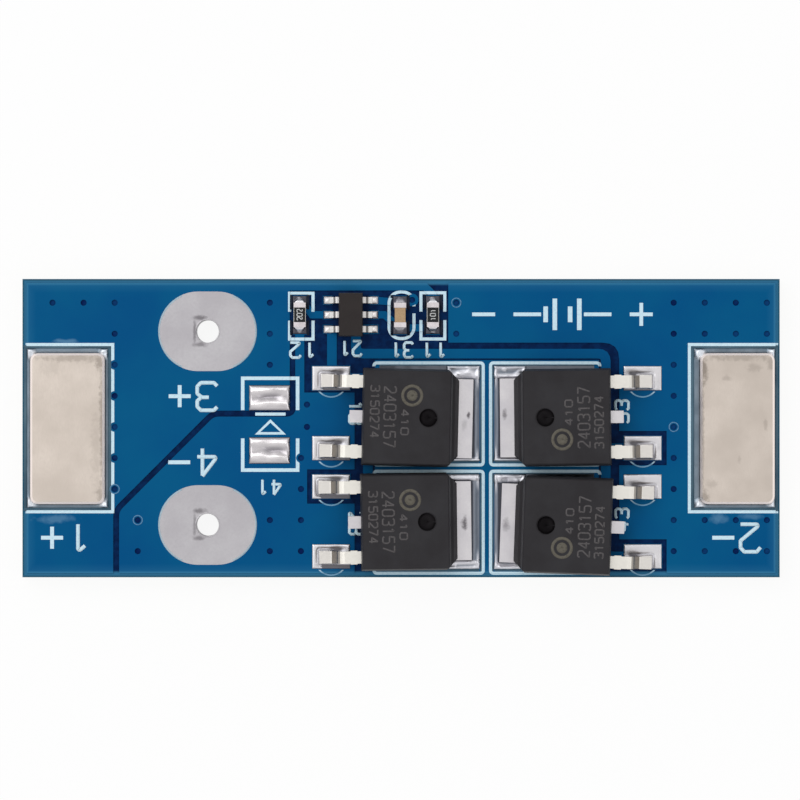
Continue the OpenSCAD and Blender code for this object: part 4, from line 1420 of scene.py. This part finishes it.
@dataclass
class CellTab(Assembly):
    """One nickel tab on its solder bed, with a thin ring of flux round the bed."""

    pole: str
    seed: float
    cell: float = 0.05
    bite: float = 0.22
    flux_reach: float = 0.2

    def dress(self) -> None:
        """Finish the tab."""
        dress(Finish.NICKEL, "cell_tab_" + self.pole)

    def rim_height(self, pad: Rect, tab: Rect, x: Grid, y: Grid) -> Grid:
        """Give the height of the solder rim: thin along the sides and thinner next to the tab, where its
        finish paints shade, and raised at the corners, where it paints highlights.

        Args:
            pad: The solder bed.
            tab: The tab on it.
            x: Places along the board.
            y: Places across it.

        Returns:
            The height above the copper, 0 well under the tab.
        """
        edge = pad.inset(x, y)
        film = 0.036 + 0.014 * smooth(edge, 0, 0.15) + 0.006 * ripple(x, y, 1.3, self.seed)
        # Painted shade: the film thins next to the tab, where the finish turns dark; the raised corners
        # below turn bright as painted highlights.
        film = film * (0.3 + 0.7 * smooth(tab.distance(x, y), 0.0, 0.1))
        from_corner = np.hypot(np.minimum(x - tab.x0, tab.x1 - x), np.minimum(y - tab.y0, tab.y1 - y))
        corner = smooth(0.52 + 0.1 * ripple(x, y, 0.8, self.seed + 2) - from_corner, 0, 0.4)
        height = np.maximum(film + 0.19 * corner * smooth(edge, 0, 0.12), FILM)
        return within(edge, np.where(tab.grown(-self.bite).inset(x, y) > 0, 0, height))

    def build(self) -> None:
        """Make the solder rim and the ring of flux round it."""
        node = "cell_tab_solder_" + self.pole
        pad, tab = footprint(node), footprint("cell_tab_" + self.pole)
        mound = Mound("cell_tab_fillet_" + self.pole, Finish.TAB_SOLDER, COPPER_FACE)
        mound.add(pad, self.cell, partial(self.rim_height, pad, tab))
        keep(mound.build(), "tab_solder", node)
        ring = pad.grown(self.flux_reach)
        bars = (Rect(ring.x0, pad.y1, ring.x1, ring.y1), Rect(ring.x0, ring.y0, ring.x1, pad.y0),
                Rect(ring.x0, pad.y0, pad.x0, pad.y1), Rect(pad.x1, pad.y0, ring.x1, pad.y1))
        keep(mask_film("cell_tab_flux_" + self.pole, Finish.FLUX, bars), "tab_solder")


@dataclass(frozen=True)
class MarkRow:
    """A row of plain numbers marked on a moulding."""

    digits: str
    along: float
    across: float
    width: float
    height: float


@dataclass
class PowerTransistor(Assembly):
    """One power transistor with its lead frame, laser marks and solder joints.

    Its heat tab points to +X where tab_side is 1 and to -X where it is -1. Where arched is set, the
    raised wave of solder past each end of the heat tab, which its finish paints as a highlight, bends
    outwards. Pairs of reaches are for the side towards -Y and the side towards +Y.
    """

    number: int
    tab_side: int
    turn: float
    arched: bool
    strokes: Rule
    pad_l: float = 2.5
    pad_w: float = 1.6
    lead_cell: float = 0.04
    drain_l: float = 6.51
    strip_l: float = 1.75
    strip_past: float = 0.06
    strip_sides: tuple[float, float] = (0.04, 0.02)
    strip_cell: float = 0.045
    bed_h: float = 0.06
    flux_past: float = 0.16
    flux_sides: tuple[float, float] = (0.14, 0.07)
    foot_levels: tuple[float, float] = (1.6, 1.66)
    top_levels: tuple[float, float] = (2.78, 2.9)
    mark_sink: float = 0.0025
    mark_line: float = 0.1
    dot_at: Point = (0.22, 1.43)
    dot_r: float = 0.18
    dot_line: float = 0.34
    ring_r: float = 0.62
    ring_line: float = 0.19
    pit_at: Point = (1.3, 0.0)
    pit_r: float = 0.29
    pit_line: float = 0.56
    pit_depth: float = 0.12
    rows: tuple[MarkRow, ...] = (MarkRow("3150274", -2.18, 0.35, 3.5, 0.56),
                                 MarkRow("2403157", -1.2, 0.03, 4.1, 0.76),
                                 MarkRow("410", -0.22, -0.3, 1.8, 0.48))

    @property
    def stem(self) -> str:
        """Start of its solids' names."""
        return f"transistor_{self.number}_"

    @property
    def heading(self) -> float:
        """Direction of its heat tab, in degrees."""
        return self.turn + (180 if self.tab_side < 0 else 0)

    def dress(self) -> None:
        """Finish its solids."""
        dress(Finish.EPOXY, self.stem + "housing")
        dress(Finish.FRAME, self.stem + "drain_frame")
        dress(Finish.LEADS, self.stem + "gate_lead", self.stem + "source_lead")

    def on_body(self, u: float, v: float) -> Point:
        """Turn a place on the moulding into a place on the board.

        Args:
            u: Place from the middle of the top towards the heat tab.
            v: Place across it.

        Returns:
            The place on the board.
        """
        low, high = slice_box(self.stem + "housing", 2, *self.top_levels)
        at = (low + high) / 2
        return turned((at[0], at[1]), u, v, self.heading)

    def mark(self, name: str, paths: Sequence[Sequence[Point]], finish: Finish, sink: float,
             width: float, depth: float = FILM, corner: float = 0.0) -> None:
        """Mark the moulding with flat strokes.

        Args:
            name: End of the piece's name.
            paths: Paths of the strokes.
            finish: Their finish.
            sink: How far below the top of the moulding they lie.
            width: Width of a stroke.
            depth: Thickness of a stroke.
            corner: Radius at its corners.
        """
        level = box_mm(self.stem + "housing")[1][2] - sink
        keep(printed(self.stem + name, self.strokes, paths, finish, level, width, depth, corner), "epoxy")

    def marks(self) -> None:
        """Make faint rows of numbers, a plain ringed dot and the floor of the ejector mark, painted dark
        as shade in its recess.
        """
        numbers = [Number(row.digits, self.on_body(row.along, row.across), row.width, row.height,
                          self.heading - 90) for row in self.rows]
        dot, pit = self.on_body(*self.dot_at), self.on_body(*self.pit_at)
        self.mark("numbers", paths_of(numbers), Finish.LASER, self.mark_sink, self.mark_line,
                  corner=0.03)
        self.mark("ring", [circle(dot, self.ring_r)], Finish.BADGE, self.mark_sink, self.ring_line)
        self.mark("dot", [circle(dot, self.dot_r)], Finish.BADGE, self.mark_sink, self.dot_line)
        self.mark("ejector_mark", [circle(pit, self.pit_r)], Finish.EJECTOR, self.pit_depth,
                  self.pit_line, 3 * FILM)

    def lead_height(self, pad: Rect, foot: Rect, seed: float, x: Grid, y: Grid) -> Grid:
        """Give the height of the solder at a lead, kept low under the slope, along one side and in a ring
        round the foot so that its finish paints shade there, and raised by the foot so that it paints a
        highlight.

        Args:
            pad: The pad.
            foot: The lead's foot.
            seed: Number that sets its waves apart.
            x: Places along the board.
            y: Places across it.

        Returns:
            The height above the copper.
        """
        edge, away = pad.inset(x, y), foot.distance(x, y)
        film = 0.075 * np.sqrt(smooth(edge, -0.02, 0.14)) * (1 + 0.08 * ripple(x, y, 1.1, seed))
        rise = 0.16 * smooth(away, 0.14, 0.0) * (1 + 0.2 * ripple(x, y, 0.8, seed + 3))
        past_heel = (x - (foot.x1 if self.tab_side > 0 else foot.x0)) * self.tab_side
        # Painted shade: the solder is kept low below the foot, in a pocket past the heel and in a ring
        # round it, where its finish turns dark.
        shade_below = smooth(foot.y0 - y, 0.0, 0.09) * smooth(past_heel + foot.x1 - foot.x0, 0.05, 0.2)
        shade_pocket = ridge(past_heel, 0.3, 0.42) * ridge(y - foot.y1, 0.1, 0.22)
        groove = ridge(away, 0.17, 0.075) * (0.75 + 0.35 * ripple(x, y, 1.4, seed + 7))
        low = np.clip(shade_below + 1.2 * shade_pocket + groove, 0, 1)
        return within(edge, FILM + (film + rise) * (1 - low) + 0.012 * low)

    def strip_height(self, pad: Rect, tab: Rect, x: Grid, y: Grid) -> Grid:
        """Give the height of the solder round the heat tab, with raised waves past its two ends that its
        finish paints as highlights.

        Args:
            pad: The stretch of solder that shows.
            tab: The heat tab on it.
            x: Places along the board.
            y: Places across it.

        Returns:
            The height above the copper.
        """
        edge, away = pad.inset(x, y), tab.distance(x, y)
        past_end = np.maximum(tab.y0 - y, y - tab.y1)
        arch = float(self.arched)
        wander = 0.7 * ripple(x, y, 2.4, self.number * 1.3)
        band = 0.5 + 0.5 * np.sin(away * 2 * math.pi / 0.42 - 0.6 + wander)
        strip = 0.02 + (0.02 + 0.02 * band) * smooth(away, 0.0, 0.1)
        along = (x - (pad.x0 + pad.x1) / 2 - self.tab_side * 0.2) / (pad.x1 - pad.x0)
        crown = 0.2 + 0.22 * arch * np.cos(np.clip(along, -0.5, 0.5) * math.pi) ** 2
        # The crest past each end of the tab and the rim by the pad's edge are raised for painted
        # highlights; the bands and mottle give painted light and shade.
        crest = ridge(past_end, crown, 0.14 + 0.07 * arch) * smooth(past_end, 0.02, 0.08)
        rim = ridge(edge, 0.15, 0.1) * smooth(past_end, -0.9, 0.1)
        mottle = smooth(ripple(x, y, 0.5, self.number + 0.4), 0.0, 0.9) * smooth(past_end, 0.05, 0.2)
        roll = np.sqrt(smooth(edge, -0.02, 0.1))
        height = (strip + 0.09 * crest + 0.05 * rim + 0.03 * mottle) * roll
        return within(edge, np.maximum(height, FILM))

    def build(self) -> None:
        """Make the marks, the solder and the flux left round the heat tab."""
        self.marks()
        node = self.stem + "solder"
        whole = footprint(node)
        mid = (whole.y0 + whole.y1) / 2
        mound = Mound(self.stem + "lead_solder", Finish.PART_SOLDER, COPPER_FACE)
        for k, lead in enumerate(("gate_lead", "source_lead")):
            low, high = slice_box(self.stem + lead, 2, *self.foot_levels)
            foot = Rect(low[0], low[1], high[0], high[1])
            y = mid + math.copysign(LEAD_OFFSET, middle(self.stem + lead)[1] - mid)
            x = whole.x0 if self.tab_side > 0 else whole.x1 - self.pad_l
            pad = Rect(x, y - self.pad_w / 2, x + self.pad_l, y + self.pad_w / 2)
            mound.add(pad, self.lead_cell, partial(self.lead_height, pad, foot, self.number * 3.3 + k))
        keep(mound.build(), "part_solder", node)
        self.build_strip(whole)

    def build_strip(self, whole: Rect) -> None:
        """Make the solder round and under the heat tab, and the flux beyond it.

        Args:
            whole: Outline of all the solder of this transistor.
        """
        side, tab_node = self.tab_side, self.stem + "drain_frame"
        frame_box = footprint(tab_node)
        end, outer = (frame_box.x1, whole.x1) if side > 0 else (frame_box.x0, whole.x0)
        inner, brink = end - side * self.strip_l, outer + side * self.strip_past
        deep, flux_end = outer - side * self.drain_l, outer + side * self.flux_past

        # The strip of solder, whose raised waves follow the bare end of the heat tab; its finish paints
        # them bright as highlights.
        bare_low, bare_high = slice_box(tab_node, 0, *sorted((end, end - side * 0.4)))
        tab = Rect.between(inner, end, bare_low[1] + 0.02, bare_high[1] - 0.02)
        pad = Rect.between(inner, brink, whole.y0 - self.strip_sides[0], whole.y1 + self.strip_sides[1])
        mound = Mound(self.stem + "tab_solder", Finish.STRIP_SOLDER, COPPER_FACE)
        mound.add(pad, self.strip_cell, partial(self.strip_height, pad, tab))

        # The level bed of solder under the rest of it.
        mound.add(Rect.between(inner, deep, whole.y0, whole.y1), LEVEL_CELL, level_top(self.bed_h))
        keep(mound.build(), "part_solder")

        flux_y0, flux_y1 = whole.y0 - self.flux_sides[0], whole.y1 + self.flux_sides[1]
        bars = (Rect.between(deep, outer, whole.y1, flux_y1),
                Rect.between(deep, outer, flux_y0, whole.y0),
                Rect.between(brink, flux_end, flux_y0, flux_y1))
        keep(mask_film(self.stem + "flux", Finish.FLUX, bars, 1.5 * FILM), "part_solder")


@dataclass
class ProtectionChip(Assembly):
    """The six-lead chip."""

    def dress(self) -> None:
        """Finish its solids."""
        dress(Finish.CHIP_EPOXY, "protection_chip_housing")
        dress(Finish.CHIP_LEADS, "protection_chip_leads")
        dress(Finish.PART_SOLDER, "protection_chip_solder")


@dataclass
class ChipPart(Assembly):
    """A chip resistor or capacitor that stands along Y, with a fillet at each end."""

    stem: str
    code: str
    seed: float
    strokes: Rule
    shine: float = 1.0
    pad_l: float = 0.85
    cell: float = 0.03
    flux_x: float = 0.17
    flux_out: float = 0.06
    flux_in: float = 0.05
    code_w: float = 0.78
    code_h: float = 0.34
    code_line: float = 0.06

    def dress(self) -> None:
        """Finish its solids."""
        resistor = "resistor" in self.stem
        dress(Finish.ALUMINA if resistor else Finish.CAPACITOR, self.stem + "_ceramic")
        dress(Finish.ENDS, self.stem + "_ends")
        if resistor:
            dress(Finish.COAT, self.stem + "_film")

    def fillet_height(self, pad: Rect, part: Rect, seed: float, x: Grid, y: Grid) -> Grid:
        """Give the height of the solder at one end, drawn up against it in a tapering tongue that its
        finish paints as a highlight, with painted shade where it stays low.

        Args:
            pad: The pad.
            part: Outline of the part.
            seed: Number that sets its waves apart.
            x: Places along the board.
            y: Places across it.

        Returns:
            The height above the copper.
        """
        edge = pad.inset(x, y)
        past = np.maximum(np.maximum(part.y0 - y, y - part.y1), 0)
        off_middle = np.abs(x - (part.x0 + part.x1) / 2)
        tongue = 0.41 - 0.75 * past - off_middle + 0.04 * ripple(x, y, 0.4, seed)
        climb = 0.24 * self.shine * smooth(tongue, -0.02, 0.12) * (1 - 0.8 * smooth(past, 0.06, 0.3))
        return within(edge, 0.015 + (0.02 + climb) * smooth(edge, 0, 0.1))

    def build(self) -> None:
        """Make its solder, a plain dark film on the mask beside it, and the number on a resistor."""
        whole, part = footprint(self.stem + "_solder"), footprint(self.stem + "_ends")
        mound = Mound(self.stem + "_fillets", Finish.CHIP_SOLDER, COPPER_FACE)
        for k, y0 in enumerate((whole.y0, whole.y1 - self.pad_l)):
            pad = Rect(whole.x0, y0, whole.x1, y0 + self.pad_l)
            mound.add(pad, self.cell, partial(self.fillet_height, pad, part, self.seed + k))
        keep(mound.build(), "part_solder", self.stem + "_solder")
        ends = ((whole.y0 - self.flux_out, whole.y0 + self.pad_l + self.flux_in),
                (whole.y1 - self.pad_l - self.flux_in, whole.y1 + self.flux_out))
        sides = ((whole.x0 - self.flux_x, whole.x0), (whole.x1, whole.x1 + self.flux_x))
        bars = [Rect(x0, y0, x1, y1) for y0, y1 in ends for x0, x1 in sides]
        # A plain dark film on the mask beside the pads.
        keep(mask_film(self.stem + "_flux", Finish.DARK_FLUX, bars), "part_solder")
        if self.code:
            self.print_code()

    def print_code(self) -> None:
        """Print the number on a resistor's coat."""
        film = self.stem + "_film"
        at, top = middle(film), box_mm(film)[1][2]
        number = Number(self.code, (at[0], at[1]), self.code_w, self.code_h, 90.0)
        keep(printed(self.stem + "_code", self.strokes, number.strokes(), Finish.CODE, top,
                     self.code_line, FILM, 0.05), "resistor_coat")


@dataclass
class DiodePlace(Assembly):
    """Two soldered pads with no part on them."""

    crest: float = 0.13
    lower_l: float = 1.74
    upper_l: float = 1.66
    cell: float = 0.045

    def hump_height(self, pad: Rect, number: int, x: Grid, y: Grid) -> Grid:
        """Give the height of the solder on one pad, with two crests across it that its finish paints as
        highlights and a dent between that it paints as dull shade.

        Args:
            pad: The pad.
            number: 0 for the lower pad, 1 for the upper one.
            x: Places along the board.
            y: Places across it.

        Returns:
            The height above the copper.
        """
        edge = pad.inset(x, y)
        along = (y - pad.y0) / (pad.y1 - pad.y0) + 0.03 * ripple(x, x, 1.6, number + 1.0)
        across = (x - pad.x0) / (pad.x1 - pad.x0)
        crests = ridge(along, 0.26, 0.1) + 0.6 * ridge(along, 0.78, 0.08)
        dent = ridge(along, 0.53, 0.11) * np.exp(-((across - 0.62 + 0.12 * number) / 0.27) ** 4)
        wave = 1 + 0.12 * ripple(x * 0.4, y, 0.5, 3.0 + number)
        hump = 0.06 + self.crest * (0.55 + 0.5 * crests) * wave
        roll = np.sqrt(smooth(edge, -0.01, 0.2))
        return within(edge, 0.01 + roll * hump * (1 - 0.75 * dent))

    def build(self) -> None:
        """Make the two humps."""
        node = "empty_diode_solder"
        whole = footprint(node)
        mound = Mound("empty_diode_humps", Finish.PAD_SOLDER, COPPER_FACE)
        spans = ((whole.y0, whole.y0 + self.lower_l), (whole.y1 - self.upper_l, whole.y1))
        for k, (y0, y1) in enumerate(spans):
            pad = Rect(whole.x0, y0, whole.x1, y1)
            mound.add(pad, self.cell, partial(self.hump_height, pad, k))
        keep(mound.build(), "pad_solder", node)


# ---------------------------------------------------------------- studio


@dataclass(frozen=True)
class Lamp:
    """One square soft light aimed at the board, in metres and watts."""

    name: str
    place: tuple[float, float, float]
    side: float
    power: float

    def build(self) -> None:
        """Set the light."""
        light = bpy.data.lights.new(self.name, "AREA")
        light.size, light.energy = self.side, self.power
        holder = bpy.data.objects.new(self.name, light)
        holder.location = self.place
        holder.rotation_euler = (-Vector(self.place)).to_track_quat("-Z", "Y").to_euler()
        bpy.context.scene.collection.objects.link(holder)


@dataclass
class Studio:
    """White floor, soft light and a camera straight above the board."""

    view_width: float = 52.29
    view_x: float = -0.069
    view_y: float = 1.84
    lens: float = 200.0
    sensor: float = 36.0
    room_light: float = 0.6
    white: float = 1.0
    floor_drop: float = 0.02
    floor_tone: float = 0.94
    floor_glow: float = 0.9
    floor_half: float = 3.0
    lamps: tuple[Lamp, ...] = (Lamp("key_light", (-0.26, 0.22, 0.42), 0.5, 1.3),
                               Lamp("fill_light", (0.3, -0.2, 0.4), 0.4, 0.35))

    def camera(self) -> None:
        """Set the camera above the board, looking straight down."""
        eye = bpy.data.cameras.new("camera")
        eye.lens, eye.sensor_width = self.lens, self.sensor
        eye.clip_start, eye.clip_end = 0.01, 10.0
        holder = bpy.data.objects.new("camera", eye)
        reach = self.view_width * self.lens / self.sensor
        holder.location = (self.view_x * MM, self.view_y * MM, (MASK_FACE + reach) * MM)
        bpy.context.scene.collection.objects.link(holder)
        bpy.context.scene.camera = holder

    def seen(self, wiring: Wiring) -> bpy.types.NodeSocket:
        """Give 1 for rays that look at the background straight, in a reflection or through glass.

        Args:
            wiring: The node tree to build in.

        Returns:
            The ray test.
        """
        rays = wiring.add("ShaderNodeLightPath").outputs
        total = rays["Is Camera Ray"]
        for label in ("Is Glossy Ray", "Is Transmission Ray"):
            total = wiring.maths("MAXIMUM", total, rays[label])
        return total

    def under_board(self, wiring: Wiring) -> bpy.types.NodeSocket:
        """Give 1 for rays that reach the floor from below, or from the board's underside just over it.

        Args:
            wiring: The node tree to build in.

        Returns:
            The test.
        """
        length = wiring.add("ShaderNodeLightPath").outputs["Ray Length"]
        near = wiring.maths("LESS_THAN", length, 5 * self.floor_drop * MM)
        return wiring.maths("MAXIMUM", near, wiring.add("ShaderNodeNewGeometry").outputs["Backfacing"])

    def world(self) -> None:
        """Light the room evenly, with a white background."""
        room = bpy.data.worlds.new("room")
        room.use_nodes = True
        wiring = Wiring(room.node_tree)
        air = room.node_tree.nodes["Background"].inputs
        wiring.feed(air["Color"], (1, 1, 1, 1))
        strength = wiring.remap(self.seen(wiring), 0.0, 1.0, self.room_light, self.white)
        wiring.feed(air["Strength"], strength)
        bpy.context.scene.world = room

    def floor_paint(self) -> bpy.types.Material:
        """Make the floor's paint: matt, near white where it is seen, and clear from below.

        Returns:
            The material.
        """
        paint = bpy.data.materials.new("floor")
        paint.use_nodes = True
        wiring = Wiring(paint.node_tree)
        matt = paint.node_tree.nodes["Principled BSDF"]
        wiring.feed(matt.inputs["Base Color"], (self.floor_tone, self.floor_tone, self.floor_tone, 1))
        wiring.feed(matt.inputs["Roughness"], 0.9)
        wiring.feed(matt.inputs["Specular IOR Level"], 0.0)
        glow = wiring.maths("MULTIPLY", self.seen(wiring), self.floor_glow)
        lit = wiring.overlay(glow, matt, wiring.add("ShaderNodeEmission"))
        shown = wiring.overlay(self.under_board(wiring), lit, wiring.add("ShaderNodeBsdfTransparent"))
        wiring.feed(paint.node_tree.nodes["Material Output"].inputs["Surface"], shown.outputs[0])
        return paint

    def floor(self) -> None:
        """Lay the floor just under the board."""
        half, level = self.floor_half, -self.floor_drop * MM
        corners = [(-half, -half, level), (half, -half, level), (half, half, level), (-half, half, level)]
        mesh = bpy.data.meshes.new("floor")
        mesh.from_pydata(corners, [], [(0, 1, 2, 3)])
        mesh.materials.append(self.floor_paint())
        ground = bpy.data.objects.new("floor", mesh)
        bpy.context.scene.collection.objects.link(ground)

    def build(self) -> None:
        """Make the whole studio."""
        self.camera()
        self.world()
        for lamp in self.lamps:
            lamp.build()
        self.floor()
        bpy.context.scene.view_settings.view_transform = "Standard"


def main() -> None:
    """Build the studio and dress every sub-assembly of the board."""
    logging.basicConfig(level=logging.INFO, format="%(name)s: %(message)s")
    strokes, lips = stroke_rule(), lip_rule()
    Studio().build()
    assemblies: list[Assembly] = [
        BareBoard(strokes, lips),
        WirePads(strokes),
        CellTab("positive", 1.0),
        CellTab("negative", 2.0),
        PowerTransistor(1, 1, -1.3, True, strokes),
        PowerTransistor(2, 1, 0.7, False, strokes),
        PowerTransistor(3, -1, 0.6, False, strokes),
        PowerTransistor(4, -1, -2.1, True, strokes),
        ProtectionChip(),
        ChipPart("detect_resistor", "202", 1.1, strokes),
        ChipPart("filter_resistor", "101", 2.3, strokes),
        ChipPart("filter_capacitor", "", 3.7, strokes, shine=0.3),
        DiodePlace(),
    ]
    for assembly in assemblies:
        assembly.dress()
        assembly.build()
    bpy.context.view_layer.update()


if __name__ == "__main__":
    main()
